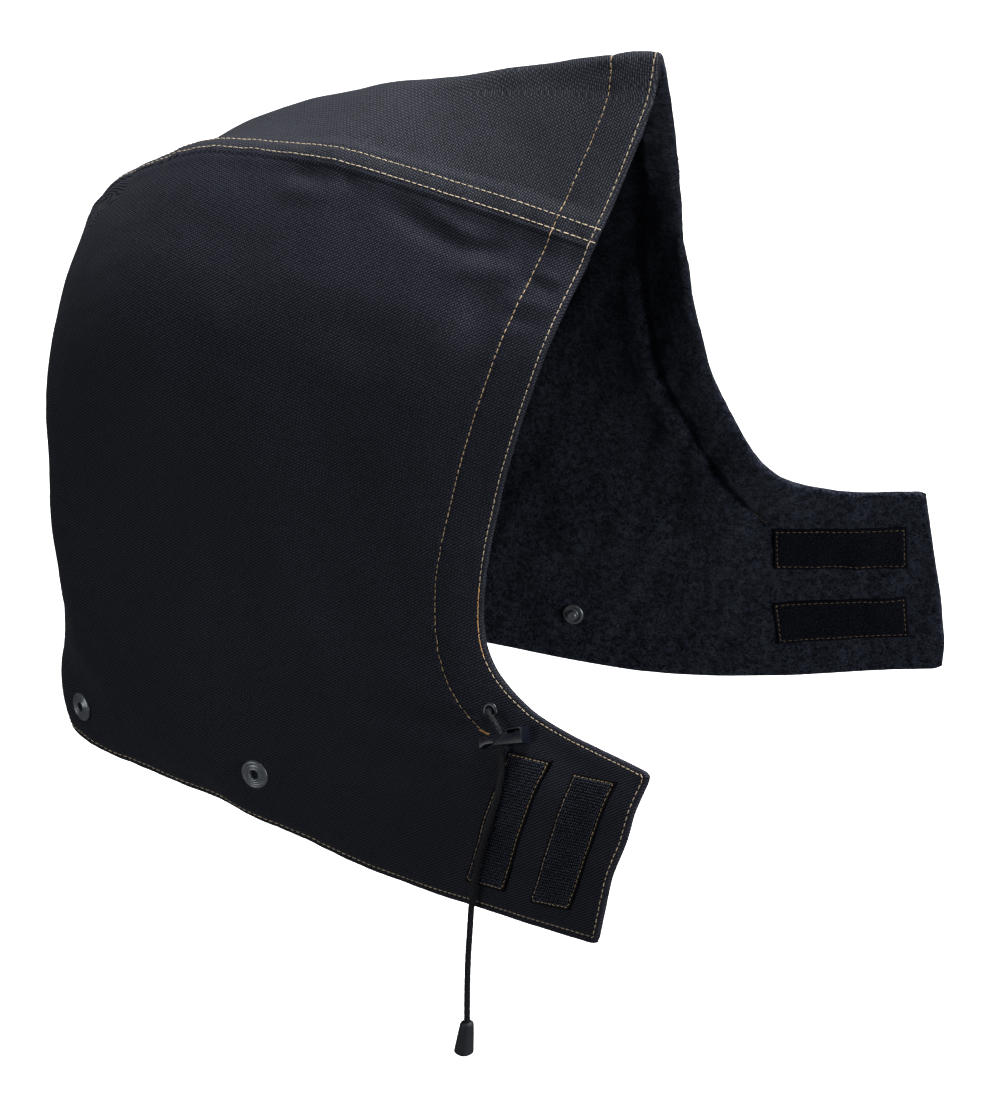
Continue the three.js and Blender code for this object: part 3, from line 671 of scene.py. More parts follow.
def edge_distances(stations, rows):
    """Cloth distances to the edges, the seam and the tunnel's line, and lengths along them."""
    plain = face_point(*np.broadcast_arrays(stations[None, :], rows[:, None]))
    down = lengths_along(plain, 0)
    across = lengths_along(plain, 1)
    centre = np.argmin(np.abs(stations))
    front = down
    hem = down[-1:] - down
    free = np.minimum(front, hem)
    inset = np.minimum(front - EDGE_STITCH, hem - HEM_STITCH)
    far_away = 1.0
    reach = [np.full(down.shape, far_away)]
    for column, station in ((0, stations[0]), (-1, stations[-1])):
        away = np.abs(across - across[:, [column]])
        if abs(station) == LAST_STATION:
            free = np.minimum(free, away)
            inset = np.minimum(inset, away - EDGE_STITCH)
        else:
            reach.append(away)
    seam = np.minimum.reduce(reach)
    right_seam, left_seam = (
        down[:, [np.argmin(np.abs(stations - side * SEAM_STATION))]] for side in (-1, 1)
    )
    apart = 0.9
    along_seam = np.where(stations < 0, right_seam, left_seam + apart)
    tunnel = [np.interp(tunnel_row(s), rows, down[:, k]) for k, s in enumerate(stations)]
    return {
        "front": front,
        "free": free,
        "seam": seam,
        "along_seam": along_seam,
        "inset": inset,
        "across": across - across[:, [centre]] + stations[centre] * 0.1,
        "down": down,
        "tunnel": tunnel,
    }


FLAT_COLUMNS = 44
FLAT_ROWS = 34
FLAT_ROUNDS = 700
FLAT_PUSH = 1.6


def flattened(stations, rows):
    """Where the grid lies on the flat cloth it is cut from, found by evening out all lengths."""
    coarse_s = np.linspace(stations[0], stations[-1], FLAT_COLUMNS)
    coarse_r = np.linspace(rows[0], rows[-1], FLAT_ROWS)
    solid = face_point(*np.meshgrid(coarse_s, coarse_r))
    if stations[0] * stations[-1] < 0:
        flat = np.stack([-lengths_along(solid, 0), solid[..., 0]], axis=-1)
        turn = CROWN_GRAIN
    else:
        flat = solid[..., 1:] * (-1, 1)
        turn = SIDE_GRAIN
    pairs = [
        (np.s_[:, :-1], np.s_[:, 1:]), (np.s_[:-1, :], np.s_[1:, :]),
        (np.s_[:-1, :-1], np.s_[1:, 1:]), (np.s_[:-1, 1:], np.s_[1:, :-1]),
    ]
    true = [np.linalg.norm(solid[b] - solid[a], axis=-1) for a, b in pairs]
    count = np.zeros(solid.shape[:2])
    for a, b in pairs:
        count[a] += 1
        count[b] += 1
    for _ in range(FLAT_ROUNDS):
        move = np.zeros_like(flat)
        for (a, b), length in zip(pairs, true):
            gap = flat[b] - flat[a]
            now = np.linalg.norm(gap, axis=-1)
            pull = gap * (0.5 * (now - length) / now)[..., None]
            move[a] += pull
            move[b] -= pull
        flat = flat + FLAT_PUSH * move / count[..., None]
    tall = [[np.interp(rows, coarse_r, column) for column in flat[..., k].T] for k in (0, 1)]
    wide = [[np.interp(stations, coarse_s, line) for line in np.transpose(side)] for side in tall]
    u, v = np.array(wide)
    return np.stack([
        u * math.cos(turn) + v * math.sin(turn), v * math.cos(turn) - u * math.sin(turn)
    ], axis=-1)


def grid_slab(name, upper, lower, cloth, wear, material):
    """A closed slab between two grids that carries its cloth coordinates as a UV map."""
    tall, wide = upper.shape[:2]
    vertices = np.concatenate([upper.reshape(-1, 3), lower.reshape(-1, 3)])
    top = np.arange(tall * wide).reshape(tall, wide)
    under = top + tall * wide

    def quads(a, b, c, d):
        return np.stack([x.ravel() for x in (a, b, c, d)], axis=1)

    faces = np.concatenate([
        quads(top[:-1, :-1], top[:-1, 1:], top[1:, 1:], top[1:, :-1]),
        quads(under[:-1, :-1], under[1:, :-1], under[1:, 1:], under[:-1, 1:]),
        quads(top[0, :-1], under[0, :-1], under[0, 1:], top[0, 1:]),
        quads(top[-1, :-1], top[-1, 1:], under[-1, 1:], under[-1, :-1]),
        quads(top[:-1, 0], top[1:, 0], under[1:, 0], under[:-1, 0]),
        quads(top[:-1, -1], under[:-1, -1], under[1:, -1], top[1:, -1]),
    ])
    a, b, c = (vertices[faces[:, k]] for k in range(3))
    d = vertices[faces[:, 3]]
    volume = np.einsum("ij,ij->i", a, np.cross(b, c)).sum()
    volume += np.einsum("ij,ij->i", a, np.cross(c, d)).sum()
    if volume < 0:
        faces = faces[:, ::-1]
    obj = new_piece(name, vertices.tolist(), faces.tolist(), material)
    mesh = obj.data
    corners = np.empty(len(mesh.loops), np.int32)
    mesh.loops.foreach_get("vertex_index", corners)
    both = np.concatenate([cloth.reshape(-1, 2), cloth.reshape(-1, 2)])
    layer = mesh.uv_layers.new(name="cloth")
    layer.data.foreach_set("uv", both[corners].astype(np.float32).ravel())
    rubbed = mesh.attributes.new("wear", "FLOAT", "POINT")
    rubbed.data.foreach_set("value", np.tile(wear.ravel(), 2).astype(np.float32))
    return obj


def seat_tree(objects):
    """One search tree over several meshes."""
    vertices = []
    faces = []
    for obj in objects:
        start = len(vertices)
        vertices.extend(v.co.copy() for v in obj.data.vertices)
        faces.extend([start + k for k in p.vertices] for p in obj.data.polygons)
    return BVHTree.FromPolygons(vertices, faces)


def seated(points, ways, tree, lift=0.0, reach=9 * MM):
    """Points moved along their directions onto the cloth below them."""
    out = []
    for point, way in zip(points, ways):
        p = Vector(point)
        n = Vector(way)
        hit = tree.ray_cast(p + reach * n, -n, 2 * reach)[0]
        out.append(p if hit is None else hit + lift * n)
    return np.array(out)


# Materials
def new_material(name):
    material = bpy.data.materials.new(name)
    material.use_nodes = True
    tree = material.node_tree
    return material, tree, tree.nodes["Principled BSDF"]


def put(tree, kind, settings=(), **values):
    """A node with its settings and its inputs, where a value may be another node's output."""
    made = tree.nodes.new(kind)
    for key, value in dict(settings).items():
        setattr(made, key, value)
    for key, value in values.items():
        slot = made.inputs[int(key[1:])] if key[1:].isdigit() else made.inputs[key.replace("_", " ")]
        if isinstance(value, bpy.types.NodeSocket):
            tree.links.new(value, slot)
        else:
            slot.default_value = value
    return made


def maths(tree, operation, first, second=0.0, third=0.0):
    settings = {"operation": operation}
    return put(tree, "ShaderNodeMath", settings, _0=first, _1=second, _2=third).outputs[0]


def blended(tree, share, first, second):
    node = put(tree, "ShaderNodeMix", {"data_type": "RGBA"}, _0=share, _6=first, _7=second)
    return node.outputs[2]


def noise(tree, place, scale, detail=2.0, roughness=0.5):
    node = put(
        tree, "ShaderNodeTexNoise",
        Vector=place, Scale=scale, Detail=detail, Roughness=roughness,
    )
    return node.outputs[0]


def object_place(tree):
    return put(tree, "ShaderNodeTexCoord").outputs["Object"]


def bump(tree, height, distance, strength, under=None):
    node = put(tree, "ShaderNodeBump", Height=height, Distance=distance, Strength=strength)
    if under is not None:
        tree.links.new(under, node.inputs["Normal"])
    return node.outputs[0]


def canvas_material(name, dark_low, dark_high, light_low, light_high):
    material, tree, shader = new_material(name)
    uv = put(tree, "ShaderNodeUVMap", {"uv_map": "cloth"}).outputs[0]
    sway = noise(tree, uv, 55.0, 1.0)
    sides = put(tree, "ShaderNodeSeparateXYZ", Vector=uv)
    thread = math.pi / WEAVE_PITCH
    warp = maths(tree, "SINE", maths(tree, "MULTIPLY_ADD", sides.outputs[0], thread, sway))
    weft = maths(tree, "SINE", maths(tree, "MULTIPLY_ADD", sides.outputs[1], thread, sway))
    crossing = maths(tree, "MULTIPLY", warp, weft)
    along = maths(tree, "MULTIPLY_ADD", maths(tree, "ABSOLUTE", warp), 0.55, 0.45)
    pillow = maths(tree, "MULTIPLY", maths(tree, "ABSOLUTE", weft), along)
    over = maths(tree, "GREATER_THAN", crossing, 0.0)
    place = object_place(tree)
    cloudy = noise(tree, place, 14.0, 3.0)
    slubs = noise(tree, place, 700.0, 2.0)
    # The colour follows the threads' height, as the bump does: painted shade down between the threads
    # and painted highlight on their tops. One kind of crossing is a little darker than the other, and
    # the slubs vary the tone at random.
    tone = maths(tree, "MULTIPLY", pillow, maths(tree, "MULTIPLY_ADD", over, 0.4, 0.6))
    tone = maths(tree, "MULTIPLY", tone, maths(tree, "MULTIPLY_ADD", slubs, 1.5, 0.3))
    dark = blended(tree, cloudy, dark_low, dark_high)
    light = blended(tree, cloudy, light_low, light_high)
    cloth = blended(tree, tone, dark, light)
    wear = put(tree, "ShaderNodeAttribute", {"attribute_name": "wear"}).outputs["Fac"]
    rubbed = maths(tree, "MULTIPLY", wear, maths(tree, "MULTIPLY", slubs, 0.3))
    colour = blended(tree, rubbed, cloth, (0.04, 0.04, 0.05, 1))
    tree.links.new(colour, shader.inputs["Base Color"])
    rough = maths(tree, "MULTIPLY_ADD", pillow, -0.2, 0.62)
    tree.links.new(rough, shader.inputs["Roughness"])
    shader.inputs["Specular IOR Level"].default_value = 0.08
    shader.inputs["Sheen Weight"].default_value = 0.03
    shader.inputs["Sheen Roughness"].default_value = 0.4
    shader.inputs["Sheen Tint"].default_value = (0.9, 0.93, 1.0, 1)
    weave = bump(tree, pillow, 0.32 * MM, 1.0)
    tree.links.new(bump(tree, slubs, 0.05 * MM, 0.6, weave), shader.inputs["Normal"])
    return material


def fleece_material():
    """Short curly pile: fine tufts within clumps, with painted shade between the tufts and a painted
    highlight on their tips.
    """
    material, tree, shader = new_material("fleece")
    place = object_place(tree)
    tufts = put(
        tree, "ShaderNodeTexNoise",
        Vector=place, Scale=560.0, Detail=3.0, Roughness=0.68, Distortion=1.6,
    ).outputs[0]
    clumps = noise(tree, place, 260.0, 2.0)
    cloudy = noise(tree, place, 16.0, 2.0)
    pile = maths(tree, "MULTIPLY_ADD", tufts, 0.75, maths(tree, "MULTIPLY", clumps, 0.25))
    spread = put(
        tree, "ShaderNodeMapRange", {"interpolation_type": "SMOOTHSTEP"},
        Value=pile, From_Min=0.43, From_Max=0.6,
    ).outputs[0]
    # The dark colour is painted shade between the tufts and the light one a painted highlight on their
    # tips; the cloudy mix varies both at random.
    dark = blended(tree, cloudy, (0.0012, 0.0016, 0.0038, 1), (0.0022, 0.0028, 0.0058, 1))
    light = blended(tree, cloudy, (0.023, 0.027, 0.043, 1), (0.036, 0.041, 0.062, 1))
    tree.links.new(blended(tree, spread, dark, light), shader.inputs["Base Color"])
    shader.inputs["Roughness"].default_value = 0.95
    shader.inputs["Specular IOR Level"].default_value = 0.03
    shader.inputs["Sheen Weight"].default_value = 0.07
    shader.inputs["Sheen Roughness"].default_value = 0.5
    shader.inputs["Sheen Tint"].default_value = (0.75, 0.85, 1.0, 1)
    coarse = bump(tree, clumps, 0.9 * MM, 0.7)
    tree.links.new(bump(tree, tufts, 1.3 * MM, 1.0, coarse), shader.inputs["Normal"])
    return material


def tape_material(name, low, high, rib, gloss):
    material, tree, shader = new_material(name)
    place = object_place(tree)
    grain = noise(tree, place, 1400.0, 2.0)
    ribs = noise(tree, place, 1000.0 * rib, 1.0)
    tone = maths(tree, "MULTIPLY_ADD", grain, 0.5, maths(tree, "MULTIPLY", ribs, 0.5))
    tree.links.new(blended(tree, tone, low, high), shader.inputs["Base Color"])
    shader.inputs["Roughness"].default_value = gloss
    shader.inputs["Specular IOR Level"].default_value = 0.08
    tree.links.new(bump(tree, tone, 0.25 * MM, 0.8), shader.inputs["Normal"])
    return material


def thread_material(name, low, high):
    material, tree, shader = new_material(name)
    place = object_place(tree)
    patches = noise(tree, place, 420.0, 2.0)
    fibres = noise(tree, place, 4200.0, 2.0)
    tone = maths(tree, "MULTIPLY_ADD", fibres, 0.5, maths(tree, "MULTIPLY", patches, 0.5))
    spread = put(tree, "ShaderNodeMapRange", Value=tone, From_Min=0.33, From_Max=0.67).outputs[0]
    tree.links.new(blended(tree, spread, low, high), shader.inputs["Base Color"])
    shader.inputs["Roughness"].default_value = 0.55
    shader.inputs["Sheen Weight"].default_value = 0.2
    tree.links.new(bump(tree, fibres, 0.08 * MM, 0.7), shader.inputs["Normal"])
    return material


def metal_material(name, low, high, roughness):
    material, tree, shader = new_material(name)
    place = object_place(tree)
    stain = noise(tree, place, 260.0, 3.0)
    scratch = noise(tree, place, 2600.0, 2.0)
    tree.links.new(blended(tree, stain, low, high), shader.inputs["Base Color"])
    shader.inputs["Metallic"].default_value = 0.6
    tree.links.new(
        maths(tree, "MULTIPLY_ADD", stain, 0.22, roughness - 0.11), shader.inputs["Roughness"]
    )
    tree.links.new(bump(tree, scratch, 0.008 * MM, 0.25), shader.inputs["Normal"])
    return material


def plastic_material(name, low, high, roughness, gloss):
    material, tree, shader = new_material(name)
    place = object_place(tree)
    mould = noise(tree, place, 1500.0, 2.0)
    haze = noise(tree, place, 180.0, 2.0)
    tree.links.new(blended(tree, haze, low, high), shader.inputs["Base Color"])
    tree.links.new(maths(tree, "MULTIPLY_ADD", haze, 0.14, roughness), shader.inputs["Roughness"])
    shader.inputs["Specular IOR Level"].default_value = gloss
    tree.links.new(bump(tree, mould, 0.03 * MM, 0.5), shader.inputs["Normal"])
    return material


def cord_material():
    """Strands cross in two ways: one way is charcoal and the other nearly black."""
    material, tree, shader = new_material("cord")
    uv = put(tree, "ShaderNodeUVMap", {"uv_map": "cord"}).outputs[0]
    sides = put(tree, "ShaderNodeSeparateXYZ", Vector=uv)
    round_about = maths(tree, "MULTIPLY", sides.outputs[0], 2 * math.pi * BRAID_STRANDS)
    along = maths(tree, "MULTIPLY", sides.outputs[1], 2 * math.pi / BRAID_PITCH)
    left = maths(tree, "SINE", maths(tree, "ADD", round_about, along))
    right = maths(tree, "SINE", maths(tree, "SUBTRACT", round_about, along))
    higher = maths(tree, "MAXIMUM", left, right)
    which = maths(tree, "GREATER_THAN", left, right)
    fibres = noise(tree, object_place(tree), 3800.0, 2.0)
    shade = blended(tree, which, (0.006, 0.007, 0.010, 1), (0.019, 0.021, 0.028, 1))
    lit = maths(tree, "MULTIPLY", maths(tree, "MULTIPLY_ADD", higher, 0.4, 0.6), fibres)
    colour = blended(tree, lit, (0.002, 0.002, 0.003, 1), shade)
    tree.links.new(colour, shader.inputs["Base Color"])
    shader.inputs["Roughness"].default_value = 0.6
    shader.inputs["Specular IOR Level"].default_value = 0.15
    shader.inputs["Sheen Weight"].default_value = 0.03
    tree.links.new(bump(tree, higher, 0.15 * MM, 0.7), shader.inputs["Normal"])
    return material


# Two copies of one canvas: the crown's is lighter, painted light where the light falls on the top, and
# the sides' is darker, painted shade.
side_canvas_painted_shade = canvas_material(
    "canvas", (0.0004, 0.0005, 0.0009, 1), (0.0007, 0.0008, 0.0013, 1),
    (0.0255, 0.0275, 0.042, 1), (0.033, 0.0355, 0.052, 1),
)
crown_canvas_painted_light = canvas_material(
    "canvas_painted_lighter", (0.0008, 0.0009, 0.0014, 1), (0.0012, 0.0013, 0.002, 1),
    (0.046, 0.049, 0.065, 1), (0.057, 0.06, 0.078, 1),
)
fleece = fleece_material()
hook_base = tape_material("hook_tape", (0.0008, 0.0009, 0.0014, 1), (0.005, 0.0055, 0.009, 1), 0.6, 0.7)
hook_plastic = tape_material("hooks", (0.02, 0.024, 0.04, 1), (0.11, 0.125, 0.17, 1), 0.6, 0.4)
loop_base = tape_material("loop_tape", (0.0008, 0.001, 0.002, 1), (0.006, 0.007, 0.012, 1), 0.4, 0.9)
loop_fibre = tape_material("loops", (0.006, 0.0075, 0.013, 1), (0.03, 0.034, 0.05, 1), 0.5, 0.7)
seam_thread = thread_material("seam_thread", (0.3, 0.22, 0.13, 1), (0.8, 0.66, 0.47, 1))
tan_thread = thread_material("tan_thread", (0.24, 0.155, 0.07, 1), (0.72, 0.52, 0.28, 1))
pale_thread = thread_material("pale_thread", (0.24, 0.18, 0.11, 1), (0.7, 0.56, 0.37, 1))
dull_thread = thread_material("dull_thread", (0.05, 0.035, 0.018, 1), (0.36, 0.24, 0.11, 1))
orange_thread = thread_material("orange_thread", (0.3, 0.12, 0.025, 1), (0.8, 0.4, 0.1, 1))
dark_metal = metal_material("dark_metal", (0.11, 0.12, 0.135, 1), (0.18, 0.195, 0.215, 1), 0.3)
black_metal = metal_material("black_metal", (0.02, 0.022, 0.027, 1), (0.045, 0.05, 0.058, 1), 0.3)
bright_steel = metal_material("spring_steel", (0.5, 0.51, 0.53, 1), (0.75, 0.76, 0.78, 1), 0.22)
plastic = plastic_material("plastic", (0.003, 0.004, 0.008, 1), (0.006, 0.0075, 0.013, 1), 0.22, 0.28)
rubber = plastic_material("rubber", (0.009, 0.011, 0.015, 1), (0.014, 0.0165, 0.021, 1), 0.5, 0.3)
cord_look = cord_material()


# Drawcord: a tube whose strands stand out along two crossing helices
def add_cord():
    route = np.array(CORD_ROUTE) * MM
    count = 1100
    rings = 820
    strand_rise = 0.07 * MM
    centre = smooth_curve(
        np.broadcast_to(route, (count, *route.shape)), np.linspace(0, len(route) - 1, count)
    )
    length = lengths_along(centre, 0)
    even = np.linspace(0, length[-1], rings)
    centre = np.stack([np.interp(even, length, centre[:, k]) for k in range(3)], axis=1)
    tangent = np.gradient(centre, axis=0)
    tangent /= np.linalg.norm(tangent, axis=1, keepdims=True)
    side = np.zeros_like(centre)
    side[0] = np.cross(tangent[0], (0, 0, 1))
    for k in range(1, len(centre)):
        side[k] = side[k - 1] - tangent[k] * (side[k - 1] @ tangent[k])
        side[k] /= np.linalg.norm(side[k])
    side[0] /= np.linalg.norm(side[0])
    other = np.cross(tangent, side)
    sides = 20
    turn = np.linspace(0, 1, sides + 1)
    angle = 2 * np.pi * turn[:-1]
    along = even[:, None] * 2 * np.pi / BRAID_PITCH
    strands = np.maximum(
        np.sin(BRAID_STRANDS * angle[None, :] + along), np.sin(BRAID_STRANDS * angle[None, :] - along)
    )
    radius = CORD_RADIUS + strand_rise * (strands - 0.4)
    ring = (
        centre[:, None]
        + radius[..., None] * np.cos(angle)[None, :, None] * side[:, None]
        + radius[..., None] * np.sin(angle)[None, :, None] * other[:, None]
    )
    vertices = ring.reshape(-1, 3).tolist()
    vertices += [centre[0].tolist(), centre[-1].tolist()]
    faces = ring_faces(len(even), sides)
    places = []
    for j in range(len(even) - 1):
        for i in range(sides):
            low, high = turn[i], turn[i + 1]
            places += [(low, even[j]), (high, even[j]), (high, even[j + 1]), (low, even[j + 1])]
    last = (len(even) - 1) * sides
    for i in range(sides):
        k = (i + 1) % sides
        faces.append((k, i, len(vertices) - 2))
        faces.append((last + i, last + k, len(vertices) - 1))
        places += [(turn[i + 1], 0), (turn[i], 0), (turn[i], 0)]
        places += [(turn[i], even[-1]), (turn[i + 1], even[-1]), (turn[i], even[-1])]
    obj = new_piece("drawcord_braid", vertices, faces, cord_look)
    layer = obj.data.uv_layers.new(name="cord")
    layer.data.foreach_set("uv", np.array(places, np.float32).ravel())
    turn_outward(obj)
    return obj, centre[::8].tolist() + [centre[-1].tolist()], float(length[-1])


drawcord, cord_line, cord_length = add_cord()


# Cloth panels
def add_panel(name, stations, lining):
    """A canvas panel, or the fleece panel under it, as a closed layer that shares the folds."""
    places = rounded_places(stations, ROWS)
    edges = edge_distances(stations, ROWS)
    curl = edge_curl(edges["free"])
    face, way = layer_grid(stations, ROWS, places, 0)
    whole = cloth_relief(face, places[0], edges)
    cloth = flattened(stations, ROWS) + 0.5
    wear = np.clip(hump(edges["free"], 1.6 * MM) + 0.7 * hump(edges["seam"], 1.2 * MM), 0, 1)
    if lining:
        upper, up_way = layer_grid(stations, ROWS, places, CANVAS)
        upper_height = whole - np.maximum(THINNEST, curl + FLEECE_CLEAR - CANVAS)
        lower, low_way = layer_grid(stations, ROWS, places, CLOTH)
        pile = fleece_relief(face, places[0], edges) * ease(edges["free"], 0, 3 * MM)
        lower_height = whole + curl - pile
        material = fleece
    else:
        upper, up_way = face, way
        relief, lap = canvas_relief(face, places[0], edges)
        upper_height = whole + relief + lap - curl
        lower, low_way = layer_grid(stations, ROWS, places, CANVAS)
        lower_height = whole + lap - np.maximum(0, curl + CANVAS_CLEAR - CANVAS)
        # The crown takes the lighter copy of the canvas, painted light, and the sides take the darker
        # copy, painted shade.
        material = crown_canvas_painted_light if name == "crown_canvas_painted_light" else side_canvas_painted_shade
    upper = upper + up_way * upper_height[..., None]
    lower = lower + low_way * lower_height[..., None]
    return grid_slab(name, upper, lower, cloth, wear, material)


shells = {
    "crown": add_panel("crown_canvas_painted_light", CROWN_STATIONS, False),
    "right": add_panel("side_canvas_right", -SIDE_STATIONS[::-1], False),
    "left": add_panel("side_canvas_left", SIDE_STATIONS, False),
}
LINING_STATIONS = np.concatenate([[SEAM_STATION], SIDE_STATIONS[2:]])
linings = {
    "crown": add_panel("crown_fleece", np.unique(CROWN_LINING_STATIONS), True),
    "right": add_panel("side_fleece_right", -LINING_STATIONS[::-1], True),
    "left": add_panel("side_fleece_left", LINING_STATIONS, True),
}
outer_tree = seat_tree(shells.values())
inner_tree = seat_tree(linings.values())


# Stitches
def new_tree(name, taken, sizes, made):
    """A node tree that takes a geometry, sizes, a seed and a thread, and makes a geometry."""
    tree = bpy.data.node_groups.new(name, "GeometryNodeTree")
    face = tree.interface
    face.new_socket(taken, in_out="INPUT", socket_type="NodeSocketGeometry")
    for word, size in sizes.items():
        socket = face.new_socket(word, in_out="INPUT", socket_type="NodeSocketFloat")
        socket.default_value = size
    face.new_socket("Seed", in_out="INPUT", socket_type="NodeSocketInt")
    face.new_socket("Thread", in_out="INPUT", socket_type="NodeSocketMaterial")
    face.new_socket(made, in_out="OUTPUT", socket_type="NodeSocketGeometry")
    return tree, put(tree, "NodeGroupInput").outputs


def kept_way(tree, name):
    """A direction that each point carries."""
    return put(
        tree, "GeometryNodeInputNamedAttribute", {"data_type": "FLOAT_VECTOR"}, Name=name
    ).outputs[0]


def spot_of(tree, **values):
    return put(tree, "ShaderNodeCombineXYZ", **values).outputs[0]


def stood(tree, up, forward, spin):
    """The turn that stands a thread up, points it forward and then spins it."""
    facing = put(
        tree, "FunctionNodeAxesToRotation", {"primary_axis": "Z", "secondary_axis": "X"},
        _0=up, _1=forward,
    ).outputs[0]
    spin = put(tree, "FunctionNodeEulerToRotation", Euler=spin).outputs[0]
    return put(
        tree, "FunctionNodeRotateRotation", {"rotation_space": "LOCAL"}, _0=facing, _1=spin
    ).outputs[0]


def bowed_thread(tree, start, middle, end, radius, sides):
    arc = put(
        tree, "GeometryNodeCurveQuadraticBezier", Resolution=5, Start=start, Middle=middle, End=end
    ).outputs[0]
    ring = put(
        tree, "GeometryNodeCurvePrimitiveCircle", {"mode": "RADIUS"},
        Resolution=sides, Radius=radius,
    ).outputs[0]
    return put(
        tree, "GeometryNodeCurveToMesh", Curve=arc, Profile_Curve=ring, Fill_Caps=True
    ).outputs[0]


def stitch_tree():
    """A row of stitches along a path: each is a short bowed thread whose ends dip in the cloth."""
    sizes = {
        "Pitch": STITCH_PITCH, "Length": 2.7 * MM, "Radius": THREAD_RADIUS,
        "Bow": 0.5 * MM, "Turn": 0.0, "Sway": 0.06,
    }
    tree, given = new_tree("stitch_row", "Path", sizes, "Stitches")
    line = put(tree, "GeometryNodeMeshToCurve", Mesh=given["Path"]).outputs[0]
    spaced = put(
        tree, "GeometryNodeResampleCurve", {"mode": "LENGTH"}, Curve=line, Length=given["Pitch"]
    ).outputs[0]
    tangent = put(tree, "GeometryNodeInputTangent").outputs[0]
    sway = put(
        tree, "FunctionNodeRandomValue", {"data_type": "FLOAT"},
        _2=maths(tree, "MULTIPLY", given["Sway"], -1.0), _3=given["Sway"], _8=given["Seed"],
    ).outputs[1]
    spin = spot_of(tree, Z=maths(tree, "ADD", sway, given["Turn"]))
    half = maths(tree, "MULTIPLY", given["Length"], 0.5)
    dip = maths(tree, "MULTIPLY", given["Bow"], -0.6)
    thread = bowed_thread(
        tree, spot_of(tree, X=maths(tree, "MULTIPLY", half, -1.0), Z=dip),
        spot_of(tree, Z=given["Bow"]), spot_of(tree, X=half, Z=dip), given["Radius"], 6,
    )
    size = put(
        tree, "FunctionNodeRandomValue", {"data_type": "FLOAT"}, _2=0.9, _3=1.08, _8=given["Seed"]
    ).outputs[1]
    copies = put(
        tree, "GeometryNodeInstanceOnPoints", Points=spaced, Instance=thread,
        Rotation=stood(tree, kept_way(tree, "outward"), tangent, spin), Scale=size,
    ).outputs[0]
    finish_tree(tree, copies, given["Thread"], "Stitches")
    return tree


def finish_tree(tree, copies, material, output):
    real = put(tree, "GeometryNodeRealizeInstances", Geometry=copies).outputs[0]
    smooth = put(tree, "GeometryNodeSetShadeSmooth", Geometry=real).outputs[0]
    coloured = put(tree, "GeometryNodeSetMaterial", Geometry=smooth, Material=material).outputs[0]
    end = tree.nodes.new("NodeGroupOutput")
    tree.links.new(coloured, end.inputs[output])


def grow(name, points, edges, ways, tree, values):
    """A plain mesh made by a node tree from points that carry their outward directions."""
    mesh = bpy.data.meshes.new(name)
    mesh.from_pydata([tuple(p) for p in points], edges, [])
    for key, vectors in ways.items():
        layer = mesh.attributes.new(key, "FLOAT_VECTOR", "POINT")
        layer.data.foreach_set("vector", np.array(vectors, np.float32).ravel())
    obj = in_scene(name, mesh)
    modifier = obj.modifiers.new("made", "NODES")
    modifier.node_group = tree
    sockets = {
        item.name: item.identifier
        for item in tree.interface.items_tree
        if item.item_type == "SOCKET" and item.in_out == "INPUT"
    }
    for key, value in values.items():
        modifier[sockets[key]] = value
    graph = bpy.context.evaluated_depsgraph_get()
    result = bpy.data.meshes.new_from_object(obj.evaluated_get(graph), depsgraph=graph)
    obj.modifiers.clear()
    obj.data = result
    result.name = name
    return obj


STITCH_ROW = stitch_tree()
all_stitches = {"crown": [], "right": [], "left": []}


def sew(name, places, thread, panel, tree=None, facing=1, **values):
    """Stitches along net places, laid on the finished cloth."""
    stations, rows = np.array(places, float).T
    depth = 0 if facing > 0 else CLOTH
    way = outward(stations, rows) * facing
    spot = seated(sunk_point(stations, rows, depth), way, tree or outer_tree, 0.05 * MM)
    return sew_line(name, spot, way, thread, panel, **values)


def sew_line(name, spots, ways, thread, panel, **values):
    edges = [(k, k + 1) for k in range(len(spots) - 1)]
    settings = {"Thread": thread, "Seed": len(bpy.data.objects), **values}
    obj = grow(name, spots, edges, {"outward": ways}, STITCH_ROW, settings)
    all_stitches[panel].append(obj)
    return obj


def reached(distance, station, row):
    """The place a cloth distance along a line of net places, which runs in station or in row."""
    steps = station if np.ndim(station) else row
    return float(np.interp(distance, lengths_along(face_point(station, row), 0), steps))


def row_at(station):
    """The row of the stitches along the front edge."""
    return reached(EDGE_STITCH, station, np.linspace(0, 2.5, 90))


def hem_row_at(station):
    """The row of the stitches along the hem."""
    return reached(HEM_STITCH, station, np.linspace(LAST_ROW, LAST_ROW - 1, 60))


def tip_station_at(side, row):
    """The station of the stitches down a flap's tip."""
    return reached(EDGE_STITCH, side * np.linspace(LAST_STATION, LAST_STATION - 0.5, 40), row)


def seam_station_at(side, row, distance):
    """The station on the crown's cloth a distance from its lapped edge."""
    return reached(distance, side * np.linspace(LAP_EDGE, 0.9, 60), row)


for side, word in SIDES:
    for distance, level in ((SEAM_STITCH_LOW, "low"), (SEAM_STITCH_HIGH, "high")):
        rows = np.linspace(0.02, LAST_ROW - 0.02, 300)
        places = [(seam_station_at(side, row, distance), row) for row in rows]
        sew(f"seam_stitches_{word}_{level}", places, seam_thread, "crown")

tunnel_stations = np.linspace(TUNNEL_LINE[0][0], TUNNEL_LINE[-1][0], 420)
tunnel = [(s, tunnel_row(s)) for s in tunnel_stations]
tunnel_parts = (
    ("right", -LAST_STATION, -LAP_EDGE), ("crown", -LAP_EDGE, LAP_EDGE), ("left", LAP_EDGE, LAST_STATION)
)
for word, low, high in tunnel_parts:
    places = [p for p in tunnel if low <= p[0] <= high]
    sew(f"tunnel_stitches_{word}", places, tan_thread, word)


